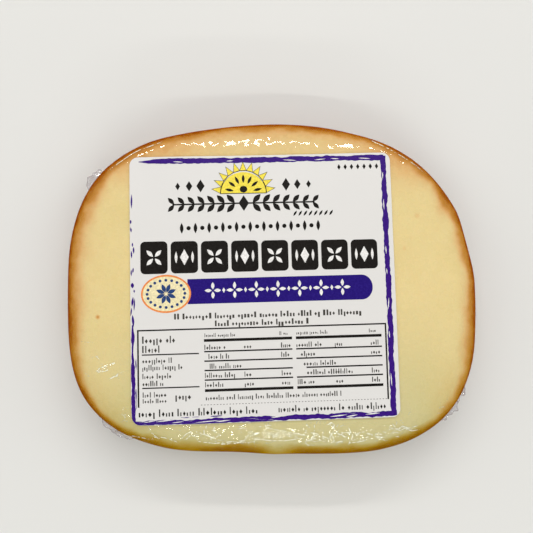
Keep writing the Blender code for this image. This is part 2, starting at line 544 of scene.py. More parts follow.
@dataclass(frozen=True)
class CheeseFinish:
    """Pale waxy paste that turns to an amber smoked rind where the rind attribute rises; its near side is
    painted shade.
    """

    paste: Colour = (0.785, 0.622, 0.294)
    paste_deep: Colour = (0.752, 0.590, 0.264)
    # Paste painted darker and greener, as in the near side's shade.
    paste_painted_shade: Colour = (0.600, 0.532, 0.265)
    clouds: Patches = Patches(17.0 * MM, 0.35, 0.68, 3.0, 0.55)
    # The near side's painted shade fades out across the pack, and outwards along it to a least share.
    painted_shade_reach: Span = NEAR_REACH
    corner_reach: Span = (38.0 * MM, 56.0 * MM)
    corner_share: float = 0.45
    # Colours of the rind by its depth; up to the first depth past 0 it fades out of the paste.
    tones: tuple[tuple[float, Colour], ...] = (
        (0.00, (0.778, 0.612, 0.286)),
        (0.12, (0.752, 0.548, 0.246)),
        (0.20, (0.738, 0.482, 0.200)),
        (0.28, (0.695, 0.398, 0.146)),
        (0.38, (0.615, 0.302, 0.074)),
        (0.47, (0.548, 0.238, 0.034)),
        (0.58, (0.500, 0.208, 0.026)),
        (0.66, (0.452, 0.166, 0.014)),
        (0.74, (0.390, 0.115, 0.005)),
        (0.84, (0.325, 0.074, 0.001)),
        (1.00, (0.250, 0.045, 0.0005)),
    )
    # The rind's tones painted darker and greener, as in the near side's shade.
    tones_painted_shade: tuple[tuple[float, Colour], ...] = (
        (0.00, (0.625, 0.565, 0.280)),
        (0.05, (0.560, 0.480, 0.195)),
        (0.12, (0.520, 0.410, 0.125)),
        (0.24, (0.465, 0.320, 0.060)),
        (0.38, (0.420, 0.255, 0.020)),
        (0.54, (0.370, 0.200, 0.003)),
        (0.70, (0.318, 0.156, 0.001)),
        (0.85, (0.285, 0.126, 0.001)),
        (1.00, (0.255, 0.100, 0.0005)),
    )
    mottle: Patches = Patches(2.6 * MM, 0.30, 0.72, 4.0)
    mottle_share: float = 0.12
    specks: tuple[Speck, ...] = (
        Speck((-50.9 * MM, -9.7 * MM, 22.6 * MM), 1.0 * MM, 0.42),
        Speck((41.9 * MM, 20.1 * MM, 23.0 * MM), 1.6 * MM, 0.16),
        Speck((37.8 * MM, 10.3 * MM, 23.4 * MM), 1.4 * MM, 0.14),
    )
    pore_size: float = 0.9 * MM
    pore_height: float = 0.05 * MM
    rough: float = 0.55
    glow: float = 0.12
    glow_colour: Colour = (1.0, 0.55, 0.22)
    glow_depth: float = 0.6 * MM

    def material(self) -> Material:
        """Make the cheese's material.

        Returns:
            The material, which reads the piece's rind attribute.
        """
        graph = Graph("smoked_provolone")
        place = graph.object_place()
        rind = graph.attribute("rind")
        stain = graph.patches(place, self.mottle, -self.mottle_share, self.mottle_share)
        depth = graph.maths("MULTIPLY_ADD", stain, rind, rind)
        for speck in self.specks:
            away = graph.node("VectorMath", {0: place, 1: speck.place}, operation="DISTANCE").outputs["Value"]
            depth = graph.maths("ADD", depth, graph.spread(away, 0.0, speck.radius, speck.strength, 0.0))
        x, y, _ = graph.node("SeparateXYZ", {"Vector": place}).outputs
        inner = graph.spread(graph.maths("ABSOLUTE", x), *self.corner_reach, 1.0, self.corner_share)
        # How much of the near side's painted shade a place takes.
        near = graph.times(graph.fade(y, self.painted_shade_reach), inner)
        paste = graph.blend(graph.patches(place, self.clouds), self.paste, self.paste_deep)
        paste = graph.blend(near, paste, self.paste_painted_shade)
        smoked = graph.blend(near, graph.ramp(depth, self.tones), graph.ramp(depth, self.tones_painted_shade))
        colour = graph.blend(graph.spread(depth, 0.0, self.tones[1][0]), paste, smoked)
        pores = graph.grain(place, self.pore_size, 3.0, 0.6)
        return graph.opaque(
            {
                "Base Color": colour,
                "Roughness": self.rough,
                "Specular IOR Level": 0.0,
                "Subsurface Weight": self.glow,
                "Subsurface Radius": self.glow_colour,
                "Subsurface Scale": self.glow_depth,
                "Normal": graph.bump(pores, self.pore_height, 0.5),
            }
        )


@dataclass(frozen=True)
class FilmFinish:
    """Clear shrink film: it passes what lies under it, mirrors its lamps and whitens where it is creased,
    partly as creased film does and partly as painted glints.
    """

    name: str
    tint: Colour = (1.0, 1.0, 0.995)
    rough: float = 0.04
    # The shares that it mirrors facing the eye and turned away, and where one becomes the other.
    mirror: float = 0.055
    mirror_aside: float = 0.008
    turning: Span = (0.18, 0.62)
    mirror_colour: Colour = (1.0, 1.0, 1.0)
    # An even haze; at 0 the film whitens along its creases instead, partly as creased film does and partly as
    # painted glints, in this white.
    haze: float = 0.0
    white: Colour = (1.00, 0.98, 0.78)
    sheen: float = 0.45
    sheen_rough: float = 0.32
    # Between its shiny patches the film's reflection is painted: a dull grey diffuse stands in for the
    # mirrored sky, apart from the wall below these heights.
    shiny: Patches = Patches(2.2 * MM, 0.455, 0.515)
    dull_painted_reflection: Colour = (0.49, 0.49, 0.48)
    wall_reach: Span = (15.0 * MM, 19.0 * MM)
    fine_size: float = 1.3 * MM
    fine_height: float = 0.016 * MM
    spark_size: float = 0.55 * MM
    spark_height: float = 0.06 * MM
    # The net of fine white lines in crinkled film, partly painted glints: its cells, their sway and stretch,
    # its lines and their breaks.
    cell_size: float = 1.7 * MM
    cell_sway: float = 0.8 * MM
    cell_stretch: Place = (0.62, 1.0, 1.0)
    line_edge: Span = (0.01, 0.07)
    line_height: float = 0.05 * MM
    breaks: Patches = Patches(2.0 * MM, 0.50, 0.55)
    crinkle_reach: Span = (0.25, 0.60)
    # The drawn creases, whitened partly as painted glints: their soft edge in half widths, and their breaks.
    crease_edge: Span = (0.5, 1.5)
    crease_breaks: Patches = Patches(0.8 * MM, 0.45, 0.51)

    def material(self) -> Material:
        """Make the film's material.

        Returns:
            The material; without haze it reads the attributes crinkle, crease and crease_side.
        """
        graph = Graph(self.name)
        place = graph.object_place()
        normal = graph.bump(graph.grain(place, self.fine_size, 2.5), self.fine_height)
        spark = graph.times(graph.grain(place, self.spark_size), graph.attribute("crinkle"))
        normal = graph.bump(spark, self.spark_height, 1.0, normal)
        amount: float | Socket = self.haze
        if not self.haze:
            amount = self.whitening_and_painted_glints(graph, place)
            normal = graph.bump(amount, self.line_height, 1.0, normal)
        aside = graph.node("LayerWeight", {"Blend": 0.5}).outputs["Facing"]
        share = graph.spread(aside, *self.turning, self.mirror, self.mirror_aside)
        height = graph.node("SeparateXYZ", {"Vector": place}).outputs["Z"]
        wall = graph.fade(height, self.wall_reach)
        shiny = graph.maths("MAXIMUM", graph.patches(place, self.shiny), wall)
        mirror = graph.coat("BsdfGlossy", self.mirror_colour, Roughness=self.rough, Normal=normal)
        # Between the shiny patches a grey diffuse stands in for the sky's reflection: painted reflection.
        face = graph.layer(shiny, graph.coat("BsdfDiffuse", self.dull_painted_reflection), mirror)
        # The whitening's white: partly creased film, partly painted glints.
        milk = graph.coat("BsdfDiffuse", self.white, Normal=normal)
        satin = graph.coat("BsdfGlossy", self.white, Roughness=self.sheen_rough, Normal=normal)
        clear = graph.coat("BsdfTransparent", self.tint)
        under = graph.layer(amount, clear, graph.layer(self.sheen, milk, satin))
        return graph.finish(graph.layer(share, under, face))

    def whitening_and_painted_glints(self, graph: Graph, place: Socket) -> Socket:
        """Find how white the film is, partly creased film and partly painted glints: a broken net of fine
        lines, and the drawn creases.

        Args:
            graph: the material under way.
            place: the place on the object.

        Returns:
            The whiteness, from 0 to 1.
        """
        sway = graph.node("TexNoise", {"Vector": place, "Scale": 1 / (2 * self.cell_size), "Detail": 1.0})
        moved = graph.vectors("MULTIPLY_ADD", sway.outputs["Color"], (self.cell_sway,) * 3, place)
        inputs = {"Vector": graph.vectors("MULTIPLY", moved, self.cell_stretch), "Scale": 1 / self.cell_size}
        cells = graph.node("TexVoronoi", inputs, feature="DISTANCE_TO_EDGE").outputs["Distance"]
        crinkled = graph.spread(graph.attribute("crinkle"), *self.crinkle_reach)
        fine = graph.times(graph.fade(cells, self.line_edge), crinkled, graph.patches(place, self.breaks))
        away = graph.maths("ABSOLUTE", graph.attribute("crease_side"))
        line = graph.times(graph.fade(away, self.crease_edge), graph.attribute("crease"))
        line = graph.times(line, graph.patches(place, self.crease_breaks))
        return graph.maths("MAXIMUM", fine, line)


@dataclass(frozen=True)
class PaperFinish:
    """White satin label paper with a faint tooth."""

    white: Colour = PAPER_WHITE
    shade: Colour = (0.704, 0.684, 0.676)
    shade_size: float = 22.0 * MM
    tooth_size: float = 0.35 * MM
    tooth_height: float = 0.006 * MM
    rough: Span = (0.38, 0.48)

    def material(self) -> Material:
        """Make the paper's material.

        Returns:
            The material.
        """
        graph = Graph("label_paper")
        place = graph.object_place()
        tooth = graph.grain(place, self.tooth_size, 3.0, 0.6)
        return graph.opaque(
            {
                "Base Color": graph.blend(graph.grain(place, self.shade_size), self.white, self.shade),
                "Roughness": graph.spread(tooth, 0.3, 0.7, *self.rough),
                "Specular IOR Level": 0.4,
                "Normal": graph.bump(tooth, self.tooth_height, 0.6),
            }
        )


@dataclass(frozen=True)
class InkFinish:
    """Flat printing ink; where a brushed ink is worn, streaks of the paper show through it."""

    ink: Ink
    rough: float = 0.38
    speckle_size: float = 0.5 * MM
    speckle_height: float = 0.004 * MM
    brushed: bool = False
    # How much full wear adds to the bristles' noise, and where the paper shows in their sum.
    wear_share: float = 0.24
    bare: Span = (0.77, 0.81)

    def material(self, name: str) -> Material:
        """Make the ink's material.

        Args:
            name: the name of the piece that wears it.

        Returns:
            The material; when brushed it reads the UV map stroke and the attribute wear.
        """
        graph = Graph("ink_" + name)
        speckle = graph.grain(graph.object_place(), self.speckle_size)
        lighter = tuple(min(1.0, part * 1.25 + 0.004) for part in self.ink.value)
        colour = graph.blend(graph.spread(speckle, 0.35, 0.75), self.ink.value, lighter)
        if self.brushed:
            bristles = graph.grain(graph.node("UVMap", uv_map="stroke").outputs["UV"], 1.0, 3.0, 0.62)
            worn = graph.maths("MULTIPLY_ADD", graph.attribute("wear"), self.wear_share, bristles)
            colour = graph.blend(graph.spread(worn, *self.bare), colour, PAPER_WHITE)
        return graph.opaque(
            {
                "Base Color": colour,
                "Roughness": self.rough,
                "Specular IOR Level": 0.14,
                "Normal": graph.bump(speckle, self.speckle_height, 0.5),
            }
        )


@dataclass(frozen=True)
class FloorFinish:
    """A plain pale studio floor."""

    colour: Colour = (0.72, 0.71, 0.70)
    lighter: Colour = (0.74, 0.73, 0.72)
    cloud_size: float = 60.0 * MM
    rough: float = 0.85

    def material(self) -> Material:
        """Make the floor's material.

        Returns:
            The material.
        """
        graph = Graph("studio_floor")
        clouds = graph.grain(graph.object_place(), self.cloud_size)
        colour = graph.blend(clouds, self.colour, self.lighter)
        return graph.opaque({"Base Color": colour, "Roughness": self.rough})


# ----------------------------------------------------------
# Pieces of the pack
# ----------------------------------------------------------


def make_piece(
    name: str, bm: Mesh, material: Material, crisp: bool = False
) -> Piece:
    """Turn a bmesh into a smooth-shaded piece that rides on the pack.

    Args:
        name: the piece's name.
        bm: its mesh, in place; it is freed.
        material: its finish.
        crisp: whether its sharp edges are kept sharp.

    Returns:
        The new object.
    """
    mesh = bpy.data.meshes.new(name)
    bm.to_mesh(mesh)
    bm.free()
    mesh.materials.append(material)
    mesh.shade_smooth()
    if crisp:
        mesh.set_sharp_from_angle(angle=SHARP_EDGE)
    piece = bpy.data.objects.new(name, mesh)
    bpy.context.scene.collection.objects.link(piece)
    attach(piece, BODY)
    return piece


@dataclass(frozen=True)
class Cheese:
    """The cheese itself, with the depth of its smoked rind kept as a point attribute."""

    form: SliceForm
    rows: Rows = Rows(base=8, foot=16, shoulder=26, crown=14)
    steps: int = 360
    depth: float = 0.14 * MM
    # The rind fades over this distance from the outline, and over the second one down the foot of the wall.
    rind_depth: float = 4.2 * MM
    foot_depth: float = 11.0 * MM
    # Shares by which the rind is deeper on the right, left, far and near side, and more of them by bearing.
    deeper_sides: tuple[float, float, float, float] = (0.09, 0.07, -0.065, -0.26)
    deeper: Humps = (
        (2.0, 14.0, -0.08),
        (30.0, 12.0, 0.16),
        (130.0, 14.0, 0.10),
        (152.0, 12.0, 0.16),
        (195.0, 14.0, -0.12),
        (219.0, 17.0, -0.30),
    )
    # A side sets in between these cosines or sines of the bearing: right or left, far, and the far half.
    side_reach: Span = (0.2, 0.9)
    far_side_reach: Span = (0.25, 0.9)
    far_half_reach: Span = (-0.5, 0.15)
    # Lengths and shares by which its depth wanders.
    wander: tuple[Point, ...] = ((11.0 * MM, 0.34), (4.0 * MM, 0.20))
    # The power by which it fades, and what the right, the near side, the far half and its two ends add to it.
    fade: float = 1.3
    fade_right: float = 0.1
    fade_near: float = 1.5
    fade_far: float = 0.3
    fade_far_ends: float = 0.55
    # The wall is paler by this share, below these heights.
    wall_fade: float = 0.20
    wall_reach: Span = (7.0 * MM, 13.5 * MM)
    foot_reach: Span = (7.0 * MM, 12.0 * MM)
    # Where the near rim stays pale, with only a thin faint line of rind.
    pale_patches: Humps = ((235.0, 9.0, 0.55), (261.5, 9.0, 1.0))
    pale_reach: Span = (13.0 * MM, 16.0 * MM)
    faint: float = 0.55
    faint_depth: float = 1.5 * MM
    faint_least: float = 0.03
    # A light blush inwards from the corners and over the far side.
    blush: float = 0.13
    blushes: Humps = ((52.0, 20.0, 1.2), (137.0, 24.0, 1.3), (212.0, 32.0, 1.3), (326.0, 28.0, 1.6))
    blush_depth: float = 9.0 * MM
    far_reach: Span = (20.0 * MM, 38.0 * MM)
    far_blush: float = 0.6
    far_rim_blush: float = 5.5
    far_rim_depth: float = 3.5 * MM

    def rind(self, place: Vector, spot: RimPoint) -> float:
        """Find how dark the smoked rind is.

        Args:
            place: a place on the cheese.
            spot: the same place as a rim point.

        Returns:
            The darkness, from 0 to 1.
        """
        cos, sin = math.cos(math.radians(spot.bearing)), math.sin(math.radians(spot.bearing))
        right, left = smooth_step(*self.side_reach, cos), smooth_step(*self.side_reach, -cos)
        far, far_half = smooth_step(*self.far_side_reach, sin), smooth_step(*self.far_half_reach, sin)
        near = (1 - smooth_step(*NEAR_REACH, place.y)) ** 2
        inset = max(0.0, spot.inset)
        sides = zip(self.deeper_sides, (right, left, far, near))
        depth = self.rind_depth * (1 + sum(share * side for share, side in sides))
        depth *= 1 + humps(spot.bearing, self.deeper)
        depth += (self.foot_depth - depth) * (1 - smooth_step(*self.foot_reach, spot.height))
        depth *= 1 + sum(share * waves(place, length) for length, share in self.wander)
        power = self.fade + self.fade_right * right + self.fade_near * near
        power += far_half * (self.fade_far + self.fade_far_ends * max(right, far))
        wall = 1 - smooth_step(*self.wall_reach, spot.height)
        dark = math.exp(-((inset / depth) ** power)) * (1 - self.wall_fade * wall)
        pale = min(1.0, humps(spot.bearing, self.pale_patches)) * smooth_step(*self.pale_reach, spot.height)
        faint = self.faint * math.exp(-inset / self.faint_depth) + self.faint_least
        dark += (min(dark, faint) - dark) * pale
        blush = humps(spot.bearing, self.blushes) * math.exp(-spot.inset / self.blush_depth)
        far_blush = self.far_blush + self.far_rim_blush * math.exp(-spot.inset / self.far_rim_depth)
        blush += smooth_step(*self.far_reach, place.y) * far_blush
        return max(dark, self.blush * blush)

    def build(self) -> Piece:
        """Make the cheese.

        Returns:
            The finished piece.
        """
        bm = bmesh.new()
        layer = bm.verts.layers.float.new("rind")
        spots = self.form.skin(bm, self.rows, self.steps, -self.depth)
        for vert, spot in spots.items():
            vert[layer] = self.rind(vert.co, spot)
        return make_piece("provolone", bm, CheeseFinish().material())


@dataclass(frozen=True)
class Crease:
    """A crease drawn in the film: a bent line through some places seen from above, in millimetres."""

    path: tuple[Point, ...]
    strength: float = 1.0
    half: float = 0.12
    REACH = 1.0

    def side(self, x: float, y: float) -> float:
        """Find how far a place lies to the left of the crease.

        Args:
            x: where the place lies across, in millimetres.
            y: where it lies along the other axis.

        Returns:
            The distance, which is negative on the right and the full reach where the crease is further off.
        """
        nearest = self.REACH
        for (start_x, start_y), (end_x, end_y) in zip(self.path, self.path[1:]):
            if not min(start_x, end_x) - self.REACH < x < max(start_x, end_x) + self.REACH:
                continue
            line_x, line_y = end_x - start_x, end_y - start_y
            part = ((x - start_x) * line_x + (y - start_y) * line_y) / (line_x**2 + line_y**2)
            part = min(1.0, max(0.0, part))
            away_x, away_y = x - start_x - part * line_x, y - start_y - part * line_y
            away = math.hypot(away_x, away_y)
            if away < abs(nearest):
                nearest = math.copysign(away, line_x * away_y - line_y * away_x)
        return nearest


# Creases drawn along the near rim, at the far corners and low on the left; the film rises along each, and is
# whitened there partly as painted glints.
NEAR_CREASES = (
    Crease(((-26.8, -43.9), (-25.4, -42.5), (-23.7, -41.7), (-21.7, -42.3), (-19.7, -43.1), (-17.7, -44.0))),
    Crease(((-25.6, -44.3), (-24.3, -43.0), (-22.9, -43.4), (-22.2, -44.6))),
    Crease(((-35.9, -41.0), (-35.3, -42.4), (-33.8, -43.8))),
    Crease(((-46.9, -42.6), (-45.1, -43.5), (-43.4, -43.8), (-41.7, -44.1)), 0.6),
    Crease(((-41.6, -43.6), (-38.8, -43.9), (-35.9, -44.5)), 0.7),
    Crease(((-34.6, -43.8), (-33.7, -43.4), (-30.9, -44.0), (-28.6, -44.9))),
    Crease(((-21.8, -45.0), (-17.5, -45.6), (-13.2, -45.1), (-8.9, -45.4))),
    Crease(((-15.6, -45.9), (-11.4, -45.7), (-9.0, -44.6), (-8.1, -43.2))),
    Crease(((-6.9, -42.6), (-6.5, -44.2), (-6.1, -46.0))),
    Crease(((-4.7, -40.7), (-0.4, -41.6), (3.9, -42.5), (8.5, -43.4)), 0.8),
    Crease(((-3.4, -42.6), (2.6, -43.1), (6.0, -43.9)), 0.7),
    Crease(((-6.1, -44.2), (-1.8, -44.8), (2.5, -44.9), (6.9, -44.3))),
    Crease(((6.8, -43.7), (8.5, -42.3), (11.4, -42.9), (14.9, -44.4))),
    Crease(((8.9, -44.9), (11.0, -44.3), (13.4, -45.1))),
    Crease(((15.5, -40.4), (16.6, -41.6), (15.7, -43.2), (16.6, -44.9), (15.7, -46.0))),
    Crease(((14.8, -40.2), (15.6, -39.7), (16.5, -40.4), (16.2, -41.2), (15.5, -40.4))),
    Crease(((20.7, -41.6), (21.8, -43.9), (20.9, -45.8), (23.5, -45.6), (25.9, -45.0))),
    Crease(((20.2, -43.1), (22.6, -42.4), (23.4, -44.3), (22.1, -45.0))),
    Crease(((21.8, -43.3), (24.7, -42.5), (27.6, -43.4), (29.4, -44.5), (31.1, -45.1))),
    Crease(((24.1, -44.9), (26.6, -43.9), (29.0, -43.1), (31.3, -43.6))),
    Crease(((33.5, -40.6), (34.9, -42.3), (37.0, -41.8), (39.3, -42.6), (41.1, -42.4))),
    Crease(((34.1, -42.2), (36.3, -41.0), (38.3, -41.7), (40.4, -41.2))),
)
FAR_CREASES = (
    Crease(((-48.3, 33.7), (-44.9, 36.1), (-42.4, 38.0), (-39.9, 39.3), (-37.4, 40.2), (-34.1, 41.5)), 0.9),
    Crease(((29.1, 43.2), (31.3, 41.9), (35.0, 39.9), (38.8, 37.7), (42.7, 35.4), (44.1, 34.2)), 0.9),
)
LEFT_CREASES = (
    Crease(((-50.4, -24.6), (-49.6, -23.9), (-48.5, -23.6), (-47.1, -23.2), (-46.0, -22.6)), 1.0, 0.24),
    Crease(((-50.1, -25.2), (-48.7, -24.9), (-47.6, -24.6)), 0.8, 0.17),
    Crease(((-46.7, -26.9), (-45.8, -26.4), (-44.7, -26.6)), 0.8, 0.22),
    Crease(((-44.7, -25.7), (-43.9, -25.3)), 0.9, 0.20),
    Crease(((-51.8, -20.9), (-51.1, -20.5), (-50.5, -21.2)), 0.6, 0.20),
    Crease(((-55.0, -16.6), (-52.5, -16.9)), 0.4, 0.16),
    Crease(((-53.9, -25.9), (-53.4, -26.2)), 0.5, 0.20),
)


@dataclass(frozen=True)
class FilmSkin:
    """The clear shrink film round the cheese: a closed wall, smooth inside and creased outside."""

    form: SliceForm
    inner_depth: float = 0.30 * MM
    outer_rows: Rows = Rows(base=2, foot=8, shoulder=58, crown=19)
    outer_steps: int = 1080
    inner_rows: Rows = Rows(base=3, foot=8, shoulder=14, crown=8)
    inner_steps: int = 180
    ripple_height: float = 0.17 * MM
    ripple_length: float = 1.9 * MM
    crinkle_height: float = 0.15 * MM
    crinkle_length: float = 4.0 * MM
    # Its patches' size, their middle and how far they vary.
    crinkle_patch: float = 8.0 * MM
    crinkle_middle: float = 0.60
    crinkle_swing: float = 1.3
    # The crinkles' share on the near side by its bearing's sine, and the insets where they begin.
    crinkle_near: Span = (0.45, 0.80)
    crinkle_start: Span = (2.6 * MM, 4.4 * MM)
    crease_height: float = 0.09 * MM
    crease_half: float = 0.26
    # Between these distances from a crease's middle, in millimetres, its whiteness and relief fade out.
    crease_fade: Span = (0.55, 0.90)
    rim_inset: float = 7.0 * MM
    rim_reach: float = 4.2 * MM
    creases: tuple[Crease, ...] = NEAR_CREASES + FAR_CREASES + LEFT_CREASES
    # No crease is drawn in the middle, between these places up the pack, apart from those low on its left.
    plain: Span = (-38.0, 33.0)
    left_corner: Point = (-42.0, -15.0)

    def rim(self, spot: RimPoint) -> float:
        """Find how near a place is to the middle of the rippled rim.

        Args:
            spot: the place as a rim point.

        Returns:
            The nearness, from 0 to 1.
        """
        if spot.height < self.form.side.waist_height / 2 or spot.inset > 4 * self.rim_reach:
            return 0.0
        return math.exp(-(((spot.inset - self.rim_inset) / self.rim_reach) ** 2))

    def crinkle(self, place: Vector, spot: RimPoint) -> float:
        """Find how crinkled the film is: most on the near rim, least on the top.

        Args:
            place: a place on the film.
            spot: the same place as a rim point.

        Returns:
            The share, from 0 to 1.
        """
        near = smooth_step(*self.crinkle_near, -math.sin(math.radians(spot.bearing)))
        inner = smooth_step(*self.crinkle_start, spot.inset)
        swing = self.crinkle_swing * waves(place, self.crinkle_patch, (0.0, 4.4, 1.0))
        patchy = self.crinkle_middle + swing
        return self.rim(spot) * inner * near * min(1.0, max(0.0, patchy))

    def crease(self, place: Vector) -> tuple[float, float, float]:
        """Find the drawn crease nearest to a place.

        Args:
            place: a place on the film.

        Returns:
            The distance to the crease's left in millimetres, half the crease's width, and its strength, which
            is 0 where none is near.
        """
        x, y = place.x / MM, place.y / MM
        if self.plain[0] < y < self.plain[1] and (x > self.left_corner[0] or y > self.left_corner[1]):
            return Crease.REACH, 1.0, 0.0
        sides = ((crease.side(x, y), crease) for crease in self.creases)
        side, crease = min(sides, key=lambda found: abs(found[0]))
        return side, crease.half, crease.strength * (1 - smooth_step(*self.crease_fade, abs(side)))

    def relief(self, place: Vector, spot: RimPoint) -> float:
        """Find the film's relief: ripples round the rim, crinkles on the near side, and the drawn creases.

        Args:
            place: a place on the film.
            spot: the same place as a rim point.

        Returns:
            The height over the plain film.
        """
        rim = self.rim(spot)
        if rim == 0:
            return 0.0
        height = self.ripple_height * waves(place, self.ripple_length) * rim
        share = self.crinkle(place, spot)
        if share > 0.02:
            ridge = (1 - abs(waves(place, self.crinkle_length, (3.7, 0.0, 9.2)))) ** 6
            small = (1 - abs(waves(place, 0.45 * self.crinkle_length))) ** 5
            height += self.crinkle_height * (ridge + 0.5 * small) * share
        side, _, strength = self.crease(place)
        return height + self.crease_height * strength * math.exp(-((side / self.crease_half) ** 2))

    def build(self) -> Piece:
        """Make the film, with its crinkles and creases also kept as point attributes.

        Returns:
            The finished piece.
        """
        bm = bmesh.new()
        names = ("crinkle", "crease_side", "crease")
        for name in names:
            bm.verts.layers.float.new(name)
        crinkle, side, crease = (bm.verts.layers.float[name] for name in names)
        inside = self.form.skin(bm, self.inner_rows, self.inner_steps, -self.inner_depth)
        bmesh.ops.reverse_faces(bm, faces=list({face for vert in inside for face in vert.link_faces}))
        outside = self.form.skin(bm, self.outer_rows, self.outer_steps, 0.0, self.relief)
        for vert, spot in outside.items():
            if spot.height > self.form.side.waist_height:
                vert[crinkle] = self.crinkle(vert.co, spot)
                away, half, vert[crease] = self.crease(vert.co)
                vert[side] = away / half
        piece = make_piece("film_skin", bm, FilmFinish("shrink_film").material())
        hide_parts(PACK_NODE)
        return piece


@dataclass(frozen=True)
class Ear:
    """A corner of a sealed end: bearing and half width in degrees, reach from the wall and rise."""

    bearing: float
    half_width: float
    reach: float
    rise: float

    def shelf(self, bearing: float) -> float:
        """Find the ear's share of its reach: full over its middle, with steep ragged sides.

        Args:
            bearing: where along the wall, in degrees.

        Returns:
            The share, from 0 to a little over 1.
        """
        away = abs((bearing - self.bearing + 180) % 360 - 180) / self.half_width
        ragged = 0.16 * noise.noise((bearing * 0.9, self.bearing, 0.0))
        return smooth_step(0.0, 0.55, 1.0 + ragged - away) * (1 + 1.4 * ragged)


@dataclass(frozen=True)
class SealedEnd:
    """One sealed end of the bag: a thin crumpled fin low on the wall, with ears and a heat-cut edge bead."""

    name: str
    form: SliceForm
    start: float
    end: float
    ears: tuple[Ear, ...]
    height: float = 4.6 * MM
    reach: float = 0.6 * MM
    root: float = 0.5 * MM
    thickness: float = 0.10 * MM
    bead: float = 0.13 * MM
    bead_sides: int = 6
    crumple: float = 0.80 * MM
    crumple_length: float = 1.4 * MM
    # The fin is fully crumpled where it reaches this far.
    slack: float = 2.0 * MM
    spacing: float = 0.25
    rows: int = 14

    def edge_point(self, bearing: float, part: float) -> Vector:
        """Find a point of the fin.

        Args:
            bearing: where along the wall, in degrees.
            part: how far out, from 0 at the root inside the film to 1 at the free edge.

        Returns:
            The point, crumpled more the further out it is.
        """
        lift = sum(ear.rise * hump(bearing, ear.bearing, 2 * ear.half_width) for ear in self.ears)
        reach = self.reach + sum(ear.reach * ear.shelf(bearing) for ear in self.ears)
        height = self.height + lift
        point, outward = self.form.oval.at(math.radians(bearing))
        inset = self.form.side.foot_inset_at(height)
        along = point + outward * (-inset - self.root + (reach + self.root) * part) + self.form.oval.centre
        place = Vector((along.x, along.y, height))
        sway = noise.noise_vector(place / self.crumple_length)
        free = part * min(1.0, reach / self.slack)
        return place + Vector((0.5 * sway.x, 0.5 * sway.y, sway.z)) * self.crumple * free

    def build(self, material: Material) -> Piece:
        """Make the fin.

        Args:
            material: the film's finish.

        Returns:
            The finished piece.
        """
        bm = bmesh.new()
        count = round((self.end - self.start) / self.spacing)
        bearings = [self.start + (self.end - self.start) * step / count for step in range(count + 1)]
        bmesh.ops.create_grid(bm, x_segments=count, y_segments=self.rows, size=0.5)
        free_edge = {}
        for vert in bm.verts:
            index = round((vert.co.x + 0.5) * count)
            part = vert.co.y + 0.5
            vert.co = self.edge_point(bearings[index], part)
            if part > 1 - 0.5 / self.rows:
                free_edge[index] = vert.co.copy()
        bmesh.ops.recalc_face_normals(bm, faces=bm.faces[:])
        bmesh.ops.solidify(bm, geom=bm.faces[:], thickness=self.thickness)
        self.add_bead(bm, [free_edge[index] for index in sorted(free_edge)])
        bmesh.ops.recalc_face_normals(bm, faces=bm.faces[:])
        return make_piece(self.name, bm, material)

    def add_bead(self, bm: Mesh, path: Sequence[Vector]) -> None:
        """Sweep a small round bead along the fin's free edge.

        Args:
            bm: the fin's mesh.
            path: the free edge's points.
        """
        last = len(path) - 1
        old_ring: list[bmesh.types.BMEdge] = []
        for index, place in enumerate(path):
            ahead = path[min(index + 1, last)] - path[max(index - 1, 0)]
            stand = Matrix.Translation(place) @ ahead.to_track_quat("Z", "Y").to_matrix().to_4x4()
            ring = bmesh.ops.create_circle(
                bm, cap_ends=index in (0, last), segments=self.bead_sides, radius=self.bead, matrix=stand
            )["verts"]
            edges = list({edge for vert in ring for edge in vert.link_edges})
            if old_ring:
                bmesh.ops.bridge_loops(bm, edges=old_ring + edges)
            old_ring = edges


# ----------------------------------------------------------
# Label
# ----------------------------------------------------------


@dataclass(frozen=True)
class LabelPlace:
    """Where the label lies on the pack, and how its own flat places become places over the pack."""

    x: float
    y: float
    turn: float = math.radians(1.5)
    stretch: Point = (1.003, 1.011)
    # How far the far right corner is drawn out, both ways, and half the side over which that fades.
    pull: float = 0.42 * MM
    half: float = 38.1 * MM

    @property
    def matrix(self) -> Matrix:
        """The label's own frame in the pack's."""
        stretch = Matrix.Diagonal((*self.stretch, 1.0, 1.0))
        return Matrix.Translation((self.x, self.y, 0)) @ Matrix.Rotation(self.turn, 4, "Z") @ stretch

    def over_pack(self, flat: Vector) -> Vector:
        """Return the place over the pack of a place on the flat label."""
        share = max(0.0, (self.half + flat.x) * (self.half + flat.y)) / (2 * self.half) ** 2
        return self.matrix @ (flat + Vector((self.pull, self.pull, 0)) * share**2)


@dataclass(frozen=True)
class Bed:
    """A surface that sheets are laid on from above."""

    tree: BVHTree
    from_height: float

    @classmethod
    def under(cls, bm: Mesh, from_height: float) -> Bed:
        """Return a bed on a mesh, which is only read."""
        return cls(BVHTree.FromBMesh(bm), from_height)

    def height(self, x: float, y: float) -> float:
        """Find the bed's height.

        Args:
            x: a place across the pack.
            y: a place up the pack.

        Returns:
            The height there.
        """
        hit = self.tree.ray_cast(Vector((x, y, self.from_height)), Vector((0, 0, -1)))[0]
        if hit is None:
            raise ValueError(f"nothing lies under {x:.4f}, {y:.4f}")
        return hit.z


def round_corners(bm: Mesh, verts: list[Vert], radius: float, segments: int) -> None:
    """Round the corners of a flat shape."""
    inputs = {"geom": verts, "offset": radius, "segments": segments}
    bmesh.ops.bevel(bm, profile=0.5, affect="VERTICES", material=-1, **inputs)


